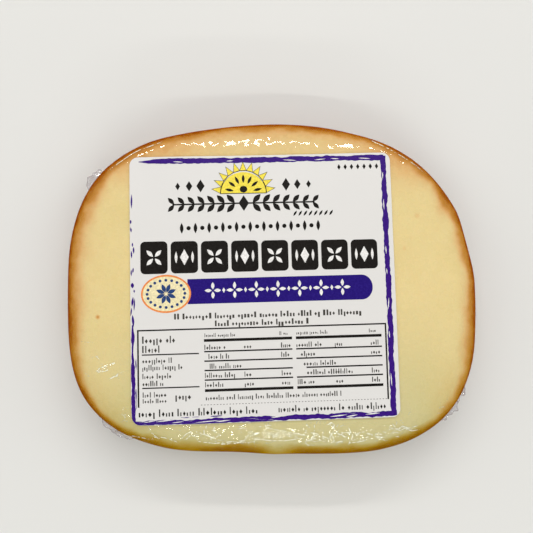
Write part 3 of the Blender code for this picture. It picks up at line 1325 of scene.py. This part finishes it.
def cut_across(bm: Mesh, low: float, high: float, spacing: float) -> None:
    """Cut a flat mesh along evenly spaced lines both ways, so that it can follow a curved bed.

    Args:
        bm: the flat mesh.
        low: where the first strip begins, on both axes.
        high: where the last strip ends.
        spacing: distance between cuts.
    """
    count = max(1, round((high - low) / spacing))
    for step in range(1, count):
        cut = low + (high - low) * step / count
        for place, across in (((cut, 0, 0), (1, 0, 0)), ((0, cut, 0), (0, 1, 0))):
            everything = bm.verts[:] + bm.edges[:] + bm.faces[:]
            bmesh.ops.bisect_plane(bm, geom=everything, dist=MERGE, plane_co=place, plane_no=across)


def thicken(bm: Mesh, thickness: float) -> None:
    """Raise a draped sheet's upper face, which makes the sheet a closed layer with outward faces.

    Args:
        bm: the sheet.
        thickness: how far its upper face is raised.
    """
    grown = bmesh.ops.extrude_face_region(bm, geom=bm.faces[:])
    raised = [item for item in grown["geom"] if isinstance(item, Vert)]
    bmesh.ops.translate(bm, vec=(0, 0, thickness), verts=raised)
    bmesh.ops.recalc_face_normals(bm, faces=bm.faces[:])


@dataclass
class PaperLabel:
    """The square paper label, lying on the film with slightly lifted edges."""

    form: SliceForm
    place: LabelPlace
    side: float
    corner: float = 2.4 * MM
    corner_steps: int = 6
    thickness: float = 0.13 * MM
    gap: float = 0.14 * MM
    lift: float = 0.06 * MM
    lift_reach: float = 5.0 * MM
    wave: float = 0.07 * MM
    wave_length: float = 24.0 * MM
    spacing: float = 1.1 * MM
    bed_rows: Rows = Rows(base=1, foot=3, shoulder=24, crown=24)
    bed_steps: int = 240
    top: Bed | None = field(default=None, init=False)

    def bed(self) -> Bed:
        """Make a bed of the film's top without its creases.

        Returns:
            The bed.
        """
        bm = bmesh.new()
        self.form.skin(bm, self.bed_rows, self.bed_steps, 0.0)
        bed = Bed.under(bm, 2 * self.form.side.crown_height)
        bm.free()
        return bed

    def build(self) -> Piece:
        """Make the label and keep its upper face as a bed for the inks.

        Returns:
            The finished piece.
        """
        bm = bmesh.new()
        bmesh.ops.create_grid(bm, x_segments=1, y_segments=1, size=self.side / 2)
        round_corners(bm, bm.verts[:], self.corner, self.corner_steps)
        cut_across(bm, -self.side / 2, self.side / 2, self.spacing)
        bed = self.bed()
        for vert in bm.verts:
            to_edge = self.side / 2 - max(abs(vert.co.x), abs(vert.co.y))
            lift = self.lift * (1 - smooth_step(0, self.lift_reach, to_edge))
            spot = self.place.over_pack(vert.co)
            lift += self.wave * waves(spot, self.wave_length, (1.3, 8.1, 2.2))
            vert.co = (spot.x, spot.y, bed.height(spot.x, spot.y) + self.gap + lift)
        thicken(bm, self.thickness)
        self.top = Bed.under(bm, 2 * self.form.side.crown_height)
        piece = make_piece("label_paper", bm, PaperFinish().material(), crisp=True)
        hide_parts(LABEL_NODE)
        return piece


@dataclass(frozen=True)
class Stroke:
    """A dry-brush stroke in the label's millimetres; wear rises from its start to its end, 0 to 1."""

    start: Point
    end: Point
    width: float
    ragged: float = 0.30
    seed: float = 0.0
    taper: float = 0.0
    wear: Span = (0.0, 0.0)
    thinning: Span = (0.0, 0.0)
    # Steps along it and lanes across it, and the least half width that still prints.
    spacing: float = 0.4
    lanes: int = 4
    least: float = 0.10
    # How far its middle wanders, and the length and breadth of one bristle's streak.
    wander: float = 0.18
    streak: Point = (5.5, 0.13)

    def drift(self, away: float, length: float, lane: float = 0.0, depth: float = 0.0) -> float:
        """Return smooth noise along the stroke whose waves are about a given length."""
        return noise.noise((away / length, lane, depth))

    def wear_at(self, away: float, part: float) -> float:
        """Return the wear at a distance from the start and its share of the length; it comes and goes."""
        patchy = 0.5 + 1.5 * self.drift(away, 5.0, self.seed + 9.0)
        return (self.wear[0] + (self.wear[1] - self.wear[0]) * part) * min(1.0, max(0.0, patchy))

    def half_width(self, away: float, part: float, side: float) -> float:
        """Find the width from the stroke's middle line to one of its edges.

        Args:
            away: distance from the start.
            part: the same as a share of the length.
            side: positive on one edge and negative on the other.

        Returns:
            The half width, which is 0 where the stroke breaks up.
        """
        lane = self.seed + (5.0 if side > 0 else 0.0)
        rough = self.drift(away, 4.3, lane) + 0.8 * self.drift(away, 1.1, lane, 7.7)
        thin = self.thinning[0] + (self.thinning[1] - self.thinning[0]) * part
        broken = 1 - thin * (1.25 + 1.6 * self.drift(away, 3.1, self.seed + 2.5, 3.0))
        ends = min(1.0, 0.12 + away / self.taper) if self.taper else 1.0
        return max(0.0, self.width / 2 * (1 + self.ragged * rough) * broken * ends)


def arc(
    x: float, y: float, reach: float, rise: float, first: float, last: float, steps: int = 24
) -> list[Point]:
    """Walk along part of an oval.

    Args:
        x: where its middle lies across.
        y: where its middle lies upwards.
        reach: half its width.
        rise: half its height.
        first: the first point's bearing in degrees.
        last: the last point's bearing in degrees.
        steps: number of steps between the points.

    Returns:
        The points.
    """
    turns = [math.radians(first + (last - first) * step / steps) for step in range(steps + 1)]
    return [(x + reach * math.cos(turn), y + rise * math.sin(turn)) for turn in turns]


@dataclass
class Plate:
    """A printing plate: flat shapes in the label's own millimetres, pressed on the label as one ink.

    Plates of a higher level lie on those below them.
    """

    ink: Ink
    level: int = 1
    brushed: bool = False
    step_up: float = 0.02 * MM
    sunk: float = 0.03 * MM
    # Clear paper left along the label's edge, and the steps in which its outline is trimmed.
    margin: float = 0.05 * MM
    trims: int = 24
    spacing: float = 2.0 * MM
    bm: Mesh = field(default_factory=bmesh.new)

    def __post_init__(self) -> None:
        """Give the plate its stroke coordinates and its wear before it has any shape."""
        self.stroke_map = self.bm.loops.layers.uv.new("stroke")
        self.wear = self.bm.verts.layers.float.new("wear")

    @property
    def name(self) -> str:
        """The name of the printed piece."""
        return f"print_{self.ink.name.lower()}_{self.level}"

    def stand(self, x: float, y: float, half_width: float, half_height: float) -> Matrix:
        """Return the matrix that takes a shape of half width 1 to its place and size on the plate."""
        size = Matrix.Diagonal((half_width * MM, half_height * MM, 1, 1))
        return Matrix.Translation((x * MM, y * MM, 0)) @ size

    def polygon(self, points: Sequence[Point]) -> None:
        """Add a flat shape through some corner points."""
        self.bm.faces.new([self.bm.verts.new((x * MM, y * MM, 0)) for x, y in points])

    def bar(self, left: float, low: float, right: float, high: float, corner: float = 0.0) -> None:
        """Add a bar.

        Args:
            left: its left side.
            low: its foot.
            right: its right side.
            high: its top.
            corner: the radius of its corners.
        """
        place = self.stand((left + right) / 2, (low + high) / 2, (right - left) / 2, (high - low) / 2)
        made = bmesh.ops.create_grid(self.bm, x_segments=1, y_segments=1, size=1, matrix=place)
        if corner:
            round_corners(self.bm, made["verts"], corner * MM, 5)

    def oval(self, x: float, y: float, half_width: float, half_height: float, segments: int = 32) -> None:
        """Add a filled oval."""
        place = self.stand(x, y, half_width, half_height)
        bmesh.ops.create_circle(self.bm, cap_ends=True, segments=segments, radius=1, matrix=place)

    def lozenge(self, x: float, y: float, half_width: float, half_height: float) -> None:
        """Add an upright diamond."""
        self.oval(x, y, half_width, half_height, 4)

    def leaf(self, x: float, y: float, length: float, width: float, turn: float, steps: int = 7) -> None:
        """Add a pointed leaf.

        Args:
            x: where its middle lies across.
            y: where its middle lies upwards.
            length: from tip to tip.
            width: across its middle.
            turn: the angle of its length from the label's foot, in degrees.
            steps: number of steps along each side.
        """
        flat = []
        for side in (1, -1):
            for step in range(steps):
                along = (0.5 - step / steps) * side
                flat.append(Vector((along * length, side * width / 2 * math.cos(math.pi * along))))
        spin = Matrix.Rotation(math.radians(turn), 2)
        self.polygon([tuple(Vector((x, y)) + spin @ point) for point in flat])

    def flower(self, x: float, y: float, reach: float, width: float, petals: int, first: float = 0.0) -> None:
        """Add leaves set round a place, each reaching from near it outwards.

        Args:
            x: where its middle lies across.
            y: where its middle lies upwards.
            reach: from the middle to the tips.
            width: across each leaf.
            petals: the number of leaves.
            first: the first leaf's bearing in degrees.
        """
        for petal in range(petals):
            turn = first + 360 * petal / petals
            middle = Vector((x, y)) + 0.56 * reach * heading(math.radians(turn))
            self.leaf(middle.x, middle.y, 0.88 * reach, width, turn)

    def brush(self, path: Stroke) -> None:
        """Add a dry-brush stroke whose edges wander and whose thinnest stretches break up.

        Args:
            path: the stroke.
        """
        start, line = Vector(path.start), Vector(path.end) - Vector(path.start)
        across = Vector((-line.y, line.x)).normalized()
        count = round(line.length / path.spacing)
        made = bmesh.ops.create_grid(self.bm, x_segments=count, y_segments=path.lanes, size=0.5)["verts"]
        where = {}
        for vert in made:
            part, side = vert.co.x + 0.5, vert.co.y * 2
            away = part * line.length
            half = path.half_width(away, part, side)
            wander = path.wander * path.drift(away, 17, path.seed, 4.1)
            place = start + line * part + across * (wander + side * half)
            vert.co = (place.x * MM, place.y * MM, 0)
            vert[self.wear] = path.wear_at(away, part)
            where[vert] = (away, side * half, half)
        worn = []
        for face in {face for vert in made for face in vert.link_faces}:
            for loop in face.loops:
                away, off, _ = where[loop.vert]
                loop[self.stroke_map].uv = (away / path.streak[0] + path.seed, off / path.streak[1])
            if max(where[vert][2] for vert in face.verts) < path.least:
                worn.append(face)
        bmesh.ops.delete(self.bm, geom=worn, context="FACES")

    def text(
        self, rng: random.Random, left: float, base: float, right: float, cap: float, weight: float
    ) -> None:
        """Fill a line with tiny upright bars and lozenges, grouped like words, that spell nothing.

        Args:
            rng: the source of their order.
            left: where the line starts.
            base: the line's foot.
            right: where the line ends.
            cap: the height of the tallest bars.
            weight: the bars' width as a share of the space that each takes.
        """
        pitch = cap * 0.50
        end = right - pitch * 0.6
        place = left
        while place < end:
            for letter in range(rng.choice((2, 4, 5, 6, 7, 8, 9))):
                if place > end:
                    break
                tall = (letter == 0 and rng.random() < 0.5) or rng.random() < 0.2
                wide = pitch * weight * rng.uniform(0.55, 0.95)
                if not tall and rng.random() < 0.45:
                    bead = pitch * rng.uniform(0.30, 0.42)
                    self.lozenge(place + bead, base + 0.31 * cap, bead * 1.15, 0.30 * cap)
                    wide = 2 * bead
                else:
                    low = base - (0.24 * cap if not tall and rng.random() < 0.2 else 0.0)
                    high = base + cap * (0.95 if tall else rng.uniform(0.42, 0.64))
                    self.bar(place, low, place + wide, high)
                place += wide + pitch * rng.uniform(0.30, 0.48)
            place += pitch * 0.70

    def trim(self, half: float, corner: float) -> None:
        """Cut away what would print past the label's rounded outline.

        Args:
            half: half the label's side.
            corner: its corners' radius.
        """
        for step in range(self.trims):
            away = heading(math.tau * step / self.trims).to_3d()
            edge = away * ((half - corner) * (abs(away.x) + abs(away.y)) + corner - self.margin)
            everything = self.bm.verts[:] + self.bm.edges[:] + self.bm.faces[:]
            place = {"plane_co": edge, "plane_no": away}
            bmesh.ops.bisect_plane(self.bm, geom=everything, dist=MERGE, clear_outer=True, **place)

    def press(self, label: PaperLabel) -> Piece:
        """Press the plate's shapes on the label as a thin closed layer.

        Args:
            label: the finished label.

        Returns:
            The finished piece.
        """
        half = label.side / 2
        self.trim(half, label.corner)
        cut_across(self.bm, -half, half, self.spacing)
        for vert in self.bm.verts:
            spot = label.place.over_pack(vert.co)
            vert.co = (spot.x, spot.y, label.top.height(spot.x, spot.y) - self.sunk)
        thicken(self.bm, self.sunk + self.step_up * (1 + self.level) / 2)
        finish = InkFinish(self.ink, brushed=self.brushed)
        return make_piece(self.name, self.bm, finish.material(self.name), crisp=True)


@dataclass(frozen=True)
class RuledColumn:
    """A wide column of the facts table in the label's millimetres: thin rules between two thick ones."""

    left: float
    right: float
    # Where its rows' first words start and end, from its left side.
    rows: tuple[Point, ...]
    # How far its short rule is indented.
    indent: float = 0.0
    thick: float = 0.38
    thin: float = 0.2
    top: float = -15.0
    foot: float = -28.9
    between: tuple[float, ...] = (-18.1, -20.75, -23.35, -26.0)
    short: float = -23.35
    feet: tuple[float, ...] = (-17.6, -20.2, -22.9, -25.4, -28.0)


@dataclass
class LabelPrint:
    """Everything printed on the label: border, sun emblem, garland, frieze, band, seal and facts table."""

    label: PaperLabel
    rng: random.Random = field(default_factory=lambda: random.Random(11))
    plates: dict[tuple[Ink, int], Plate] = field(default_factory=dict)
    strokes: tuple[Stroke, ...] = (
        Stroke((-35.4, 36.7), (36.2, 36.6), 1.58, 0.36, 1.3, 6.0, (0.0, 0.3)),
        Stroke((36.0, 37.1), (36.1, -37.4), 1.55, 0.40, 2.9, 0.0, (0.3, 0.3)),
        Stroke((-37.9, -37.5), (37.0, -37.0), 1.40, 0.55, 4.2, 0.0, (0.7, 0.6)),
        Stroke((-37.5, -37.7), (-37.4, -10.0), 1.30, 0.55, 6.1, 0.0, (0.2, 0.8), (0.0, 0.4)),
        Stroke((-36.6, -16.0), (-36.6, -35.0), 0.45, 0.60, 9.7, 0.0, (0.9, 0.9), (0.7, 0.5)),
        Stroke((-31.0, -36.3), (-8.0, -35.9), 0.50, 0.60, 12.7, 2.0, (0.9, 0.9), (0.7, 0.4)),
    )
    # Fragments of the worn left side: where each lies, its length and its width.
    fragments: tuple[tuple[float, float, float, float], ...] = (
        (-37.5, 25.1, 4.3, 0.50),
        (-37.8, 19.2, 1.2, 0.55),
        (-37.7, 16.9, 1.5, 0.45),
        (-37.3, 12.6, 1.2, 0.40),
        (-37.0, 11.0, 2.0, 0.50),
        (-37.6, 9.8, 2.2, 0.45),
        (-37.2, 5.3, 1.6, 0.45),
        (-37.7, 4.6, 1.9, 0.40),
        (-37.4, 1.0, 1.6, 0.95),
        (-36.9, -0.6, 0.9, 0.45),
        (-37.4, -3.6, 2.8, 0.65),
        (-36.9, -4.4, 3.6, 0.40),
        (-37.8, -6.4, 2.6, 0.40),
        (-37.3, -8.9, 3.4, 0.70),
    )
    # Pale scratches in the strokes along the foot, the right side and the top: their places and lengths.
    foot_scratches: tuple[Point, ...] = (
        (-33.0, 3.6), (-28.2, 6.4), (-25.2, 3.4), (-16.8, 7.2), (-12.6, 4.4),
        (2.6, 3.2), (20.2, 5.2), (24.0, 3.4), (30.0, 4.4),
    )
    right_scratches: tuple[Point, ...] = (
        (31.2, 2.2), (22.6, 3.4), (9.4, 2.4), (3.2, 1.8), (-6.0, 3.6), (-14.8, 2.2), (-27.5, 4.0),
    )
    top_scratches: tuple[Point, ...] = (
        (-24.0, 3.0), (-9.0, 2.2), (8.5, 4.2), (17.4, 3.4), (21.8, 2.6), (30.5, 3.6),
    )
    # Lines in the narrow column and under it: cap height, left end, foot and right end.
    narrow_lines: tuple[tuple[float, float, float, float], ...] = (
        (2.1, -34.8, -15.4, -25.2),
        (2.1, -34.8, -18.0, -29.2),
        (1.55, -34.8, -20.9, -26.0),
        (1.55, -34.8, -22.8, -22.6),
        (1.55, -34.8, -25.2, -26.2),
        (1.55, -34.8, -27.2, -28.1),
        (1.55, -34.8, -30.3, -28.2),
        (1.30, -34.8, -31.9, -28.2),
        (2.0, -25.7, -31.2, -21.4),
    )
    columns: tuple[RuledColumn, ...] = (
        RuledColumn(-17.4, 7.6, ((0.1, 6.2), (1.2, 8.0), (1.5, 11.0), (0.1, 9.2), (0.1, 5.8))),
        RuledColumn(8.7, 33.4, ((0.1, 7.6), (1.3, 5.8), (2.0, 11.2), (2.9, 16.6), (0.2, 5.2)), indent=2.8),
    )

    def plate(self, ink: Ink, level: int = 1) -> Plate:
        """Find a plate, which is made when it is first asked for.

        Args:
            ink: its ink.
            level: its level.

        Returns:
            The plate.
        """
        if (ink, level) not in self.plates:
            self.plates[ink, level] = Plate(ink, level, brushed=ink is Ink.VIOLET)
        return self.plates[ink, level]

    def border(self) -> None:
        """Brush a violet line along each side; the left one is worn to fragments towards its top."""
        violet, white, vary = self.plate(Ink.VIOLET), self.plate(Ink.WHITE, 2), self.rng.uniform
        for path in self.strokes:
            violet.brush(path)
        for x, y, length, width in self.fragments:
            violet.leaf(x, y, length, width, 90 + vary(-9, 9))
        for x, length in self.foot_scratches:
            y = -37.2 + vary(-0.25, 0.45)
            white.leaf(x, y, length, vary(0.22, 0.36), vary(2, 8))
        for y, length in self.right_scratches:
            white.leaf(35.75 + vary(-0.1, 0.15), y, length, 0.28, 90 + vary(-5, 3))
        for x, length in self.top_scratches:
            white.leaf(x, 36.45 + vary(-0.1, 0.15), length, 0.26, vary(-5, 5))

    def emblem(self, middle: float = -5.2, foot: float = 26.9, rays: int = 11, petals: int = 7) -> None:
        """Print a yellow half sun with a dark outline, with lozenges beside it and a garland under it.

        Args:
            middle: where its middle lies across.
            foot: the height of its foot.
            rays: the number of its rays.
            petals: the number of dark leaves on its disc.
        """
        black, yellow, over = self.plate(Ink.BLACK), self.plate(Ink.YELLOW, 2), self.plate(Ink.BLACK, 3)
        for plate, grow in ((black, 0.22), (yellow, 0.0)):
            plate.polygon(arc(middle, foot - grow, 6.5 + grow, 6.2 + grow, 0, 180))
            inner, outer, half = 6.75 - grow, 9.1 + 1.6 * grow, 0.86 + grow
            for ray in range(rays):
                ahead = heading(math.pi * (ray + 0.5) / rays)
                side = Vector((-ahead.y, ahead.x)) * half
                corners = (ahead * inner - side, ahead * outer, ahead * inner + side)
                plate.polygon([(middle + corner.x, foot + corner.y) for corner in corners])
        for x, y in arc(0, 0, 4.2, 4.2, 90 / petals, 180 - 90 / petals, petals - 1):
            over.leaf(middle + x, foot + y, 2.6, 0.85, math.degrees(math.atan2(y, x)))
        over.oval(middle, foot + 1.1, 1.1, 1.0, 20)
        for side in (-1, 1):
            for index, size in enumerate((1.9, 1.5, 1.1)):
                black.lozenge(middle + side * (12.4 + 3.3 * index), foot + 2.3, 0.62 * size, size)
        self.garland(black, middle, foot - 3.0, 20.6)

    def garland(self, plate: Plate, middle: float, height: float, reach: float, start: float = 3.4) -> None:
        """Print a straight garland of paired leaves that runs both ways from its middle.

        Args:
            plate: the plate that it is cut in.
            middle: where its middle lies across.
            height: how high it lies.
            reach: from its middle to each end.
            start: from its middle to the first leaves.
        """
        plate.bar(middle - reach, height - 0.22, middle + reach, height + 0.22)
        plate.lozenge(middle, height, 1.5, 2.3)
        count = 7
        for side in (-1, 1):
            for index in range(count):
                x = middle + side * (start + (reach - start) * index / (count - 1))
                size = 1 - 0.25 * index / count
                for up in (-1, 1):
                    turn = up * 47 if side > 0 else 180 - up * 47
                    plate.leaf(x + side * 0.35, height + up * 1.35 * size, 3.4 * size, 1.55 * size, turn)

    def caption(self) -> None:
        """Print a light chain of upright leaves and dots, a slanted row over its end and lozenges above."""
        black, height = self.plate(Ink.BLACK), 17.0
        for index in range(21):
            x = -23.2 + 39.4 * index / 20
            if index % 2:
                black.oval(x, height, 0.62, 0.62, 12)
            else:
                black.leaf(x, height, 3.1, 1.05, 90)
        for index in range(8):
            black.leaf(9.6 + 1.5 * index, 20.6, 1.9, 0.6, 55)
        for index in range(7):
            black.lozenge(22.9 + 1.85 * index, 34.0, 0.5, 0.85)

    def frieze(self, foot: float = 4.1, top: float = 13.4, width: float = 7.75, gap: float = 0.9) -> None:
        """Print the heavy frieze: eight dark tiles, each with a pale flower or lozenge.

        Args:
            foot: the height of the tiles' feet.
            top: the height of the first tile's top; the others are each a little lower.
            width: each tile's width.
            gap: the space between two tiles.
        """
        black, white = self.plate(Ink.BLACK), self.plate(Ink.WHITE, 2)
        for index in range(8):
            x = -35.1 + (width + gap) * index + width / 2
            high = top - 0.12 * index
            middle = (foot + high) / 2
            black.bar(x - width / 2, foot, x + width / 2, high, 1.3)
            if index % 2:
                white.lozenge(x, middle, 1.25, 2.3)
                for side in (-1, 1):
                    white.leaf(x + side * 2.35, middle, 3.4, 0.8, 90)
            else:
                white.flower(x, middle, 3.0, 1.15, 4, 45)

    def band(self) -> None:
        """Print the indigo band, round at its right end, with a row of pale leaf crosses and dots."""
        indigo, white = self.plate(Ink.INDIGO), self.plate(Ink.WHITE, 2)
        indigo.polygon([(-21.8, 2.4), (-21.8, -4.7), *arc(28.2, -1.15, 3.2, 3.55, -90, 90)])
        crosses, height, pitch = 7, -1.0, 6.2
        for index in range(crosses):
            x = -14.6 + pitch * index
            white.flower(x, height, 2.35, 0.95, 4)
            if index < crosses - 1:
                white.lozenge(x + pitch / 2, height, 0.45, 0.75)

    def seal(self, x: float = -27.9, y: float = -1.6, dots: int = 20) -> None:
        """Print an oval seal: an orange ring round a cream field with a navy rosette and dots.

        Args:
            x: where its middle lies across.
            y: where its middle lies upwards.
            dots: the number of its dots.
        """
        orange, cream, navy = self.plate(Ink.ORANGE, 2), self.plate(Ink.CREAM, 3), self.plate(Ink.NAVY, 4)
        orange.oval(x, y, 7.1, 5.4, 56)
        cream.oval(x, y, 6.6, 4.9, 56)
        navy.flower(x, y, 3.0, 1.15, 8, 22.5)
        for dot_x, dot_y in arc(x, y, 5.35, 3.85, 0, 360, dots)[:-1]:
            navy.oval(dot_x, dot_y, 0.42, 0.42, 10)

    def small_print(self) -> None:
        """Print the two fine lines under the band and the two bolder ones at the foot."""
        grey, black = self.plate(Ink.GREY), self.plate(Ink.BLACK)
        grey.text(self.rng, -25.7, -8.9, 29.1, 1.7, 0.80)
        grey.text(self.rng, -14.2, -11.1, 12.7, 1.7, 0.80)
        black.text(self.rng, -36.0, -35.7, -1.8, 2.15, 0.44)
        black.text(self.rng, 3.2, -35.6, 34.7, 1.95, 0.42)

    def facts_table(self) -> None:
        """Print the ruled facts table: a thin frame, a narrow first column and two ruled wide ones."""
        black, grey = self.plate(Ink.BLACK), self.plate(Ink.GREY)
        left, foot, right, line = -36.2, -33.0, 34.9, 0.45
        black.bar(left, -11.95, right, -11.55)
        for side in (left, right - line):
            black.bar(side, foot, side + line, -11.7)
        for index in range(60):
            x = -18.6 + 0.89 * index
            grey.bar(x, foot + 0.08, x + 0.4, foot + 0.22)
        for cap, start, base, end in self.narrow_lines:
            grey.text(self.rng, start, base, end, cap, 0.46)
        for rule in (-18.55, -27.75):
            black.bar(-34.9, rule - 0.17, -18.9, rule + 0.17)
        for column in self.columns:
            self.ruled_column(column)
        grey.text(self.rng, -17.2, -31.6, 21.6, 1.5, 0.47)

    def ruled_column(self, column: RuledColumn, cap: float = 1.5, weight: float = 0.47) -> None:
        """Print a wide column: a thick rule under its heading, then rows of bars between thin rules.

        Args:
            column: the column's places.
            cap: its rows' cap height.
            weight: its rows' weight.
        """
        black, grey = self.plate(Ink.BLACK), self.plate(Ink.GREY)
        left, right = column.left, column.right
        for start, end in ((left + 0.2, left + 9.2), (right - 3.6, right - 0.9)):
            grey.text(self.rng, start, -14.1, end, 1.15, 0.42)
        for rule in (column.top, *column.between, column.foot):
            half = column.thin if rule in column.between else column.thick
            indent = column.indent if rule == column.short else 0.0
            black.bar(left + indent, rule - half, right, rule + half)
        middle = left + 0.45 * (right - left)
        for index, (base, (start, end)) in enumerate(zip(column.feet, column.rows)):
            grey.text(self.rng, left + start, base, left + end, cap, weight)
            if index in (0, 3, 4):
                grey.text(self.rng, middle, base, middle + 2.6, cap, weight)
            if index != 2:
                grey.text(self.rng, right - 3.2, base, right - 0.3, cap, weight)

    def build(self) -> list[Piece]:
        """Print everything on the label, in this order because its small variations are drawn in turn.

        Returns:
            The printed pieces, one for each plate.
        """
        self.border()
        self.emblem()
        self.caption()
        self.frieze()
        self.band()
        self.seal()
        self.small_print()
        self.facts_table()
        return [plate.press(self.label) for plate in self.plates.values()]


# ----------------------------------------------------------
# Studio
# ----------------------------------------------------------


@dataclass(frozen=True)
class SoftBox:
    """A rectangular lamp that faces the pack: bearing and elevation in degrees, size in metres."""

    name: str
    bearing: float
    elevation: float
    distance: float
    size: Point
    glow: float
    colour: Colour
    shades: bool = True
    shines: bool = True

    def place(self, target: Vector) -> None:
        """Hang the lamp so that it faces the target; its power gives an even glow over its face.

        Args:
            target: the place that it faces.
        """
        lamp = bpy.data.lights.new(self.name, "AREA")
        lamp.color = self.colour
        lamp.shape = "RECTANGLE"
        lamp.size, lamp.size_y = self.size
        lamp.energy = self.glow * math.pi * self.size[0] * self.size[1]
        holder = bpy.data.objects.new(self.name, lamp)
        bearing, rise = math.radians(self.bearing), math.radians(self.elevation)
        away = Vector((*(heading(bearing) * math.cos(rise)), math.sin(rise)))
        holder.location = target + away * self.distance
        holder.rotation_euler = away.to_track_quat("Z", "Y").to_euler()
        holder.visible_diffuse = self.shades
        holder.visible_glossy = self.shines
        bpy.context.scene.collection.objects.link(holder)


@dataclass(frozen=True)
class Studio:
    """A pale floor, soft lamps and a camera that looks almost straight down on the label."""

    view_angle: float = math.radians(46.0)
    camera_place: Place = (-11.70 * MM, -13.20 * MM, 204.0 * MM)
    looks_along: Place = (0.0490, 0.0991, -0.9939)
    upward: Place = (-0.0025, 0.9951, 0.0991)
    nearest: float = 10.0 * MM
    target_height: float = 12.0 * MM
    floor_half: float = 3.0
    sky: Colour = (0.93, 0.945, 0.925)
    sky_strength: float = 0.56
    lamps: tuple[SoftBox, ...] = (
        SoftBox("far_box", 95.0, 66.0, 1.30, (1.20, 0.80), 0.98, (1.0, 0.955, 0.90), shines=False),
        SoftBox("far_window", 90.0, 45.0, 0.70, (0.60, 0.030), 21.0, (1.0, 0.98, 0.94)),
        SoftBox("far_shine", 90.0, 47.0, 0.70, (0.64, 0.085), 14.0, (0.97, 1.0, 0.93), shades=False),
        SoftBox("near_strip", 268.0, 50.0, 0.70, (0.46, 0.019), 28.0, (0.97, 1.0, 0.94)),
        SoftBox("near_low_strip", 275.0, 30.0, 0.70, (0.46, 0.013), 28.0, (0.97, 1.0, 0.94)),
        SoftBox("left_box", 165.0, 38.0, 1.10, (0.60, 0.60), 1.1, (1.0, 0.99, 0.96), shines=False),
        SoftBox("right_box", 20.0, 42.0, 1.10, (0.60, 0.60), 1.1, (1.0, 0.99, 0.96), shines=False),
    )

    def build(self) -> None:
        """Set up the floor, the lamps, the world and the camera."""
        scene = bpy.context.scene
        scene.view_settings.view_transform = "Standard"
        self.add_floor()
        self.add_world()
        for lamp in self.lamps:
            lamp.place(Vector((0, 0, self.target_height)))
        scene.camera = self.add_camera()

    def add_floor(self) -> None:
        """Lay the floor at height 0."""
        bm = bmesh.new()
        bmesh.ops.create_grid(bm, x_segments=1, y_segments=1, size=self.floor_half)
        mesh = bpy.data.meshes.new("floor")
        bm.to_mesh(mesh)
        bm.free()
        mesh.materials.append(FloorFinish().material())
        floor = bpy.data.objects.new("floor", mesh)
        bpy.context.scene.collection.objects.link(floor)

    def add_world(self) -> None:
        """Set an even pale surround."""
        world = bpy.data.worlds.new("studio")
        world.use_nodes = True
        surround = world.node_tree.nodes["Background"]
        surround.inputs["Color"].default_value = (*self.sky, 1.0)
        surround.inputs["Strength"].default_value = self.sky_strength
        bpy.context.scene.world = world

    def add_camera(self) -> Piece:
        """Place the camera.

        Returns:
            The camera's object.
        """
        camera = bpy.data.cameras.new("camera")
        camera.angle = self.view_angle
        camera.clip_start = self.nearest
        holder = bpy.data.objects.new("camera", camera)
        ahead = Vector(self.looks_along).normalized()
        right = ahead.cross(Vector(self.upward)).normalized()
        aim = Matrix((right, right.cross(ahead), -ahead)).transposed().to_4x4()
        holder.matrix_world = Matrix.Translation(self.camera_place) @ aim
        bpy.context.scene.collection.objects.link(holder)
        return holder


def report(piece: Piece) -> None:
    """Log a finished piece with its number of triangles."""
    piece.data.calc_loop_triangles()
    LOG.info("%s: %d triangles", piece.name, len(piece.data.loop_triangles))


FIN_FILM = FilmFinish(
    "sealed_film",
    rough=0.12,
    mirror_aside=0.05,
    haze=0.36,
    white=(0.60, 0.56, 0.59),
    sheen=0.12,
    fine_size=0.8 * MM,
)
LEFT_EARS = (
    Ear(152.0, 4.2, 2.8 * MM, 4.2 * MM),
    Ear(217.5, 6.5, 1.7 * MM, 3.6 * MM),
)
RIGHT_EARS = (
    Ear(319.8, 4.0, 1.9 * MM, 3.2 * MM),
    Ear(324.2, 3.0, 1.3 * MM, 3.0 * MM),
    Ear(328.0, 2.2, 1.8 * MM, 3.2 * MM),
    Ear(374.0, 6.0, 0.7 * MM, 3.6 * MM),
)


def main() -> None:
    """Build the pack piece by piece inside the studio."""
    logging.basicConfig(level=logging.INFO, format="%(name)s: %(message)s", stream=sys.stdout)
    low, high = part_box(PACK_NODE)
    form = SliceForm(Oval(high.x - low.x, high.y - low.y), SideProfile(high.z - low.z))
    report(Cheese(form).build())
    report(FilmSkin(form).build())
    fin_film = FIN_FILM.material()
    report(SealedEnd("sealed_end_left", form, 146.0, 227.0, LEFT_EARS).build(fin_film))
    report(SealedEnd("sealed_end_right", form, 312.0, 392.0, RIGHT_EARS).build(fin_film))
    low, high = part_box(LABEL_NODE)
    place = LabelPlace((low.x + high.x) / 2, (low.y + high.y) / 2)
    label = PaperLabel(form, place, (high.x - low.x) / (math.cos(place.turn) + math.sin(place.turn)))
    report(label.build())
    for piece in LabelPrint(label).build():
        report(piece)
    Studio().build()


if __name__ == "__main__":
    main()
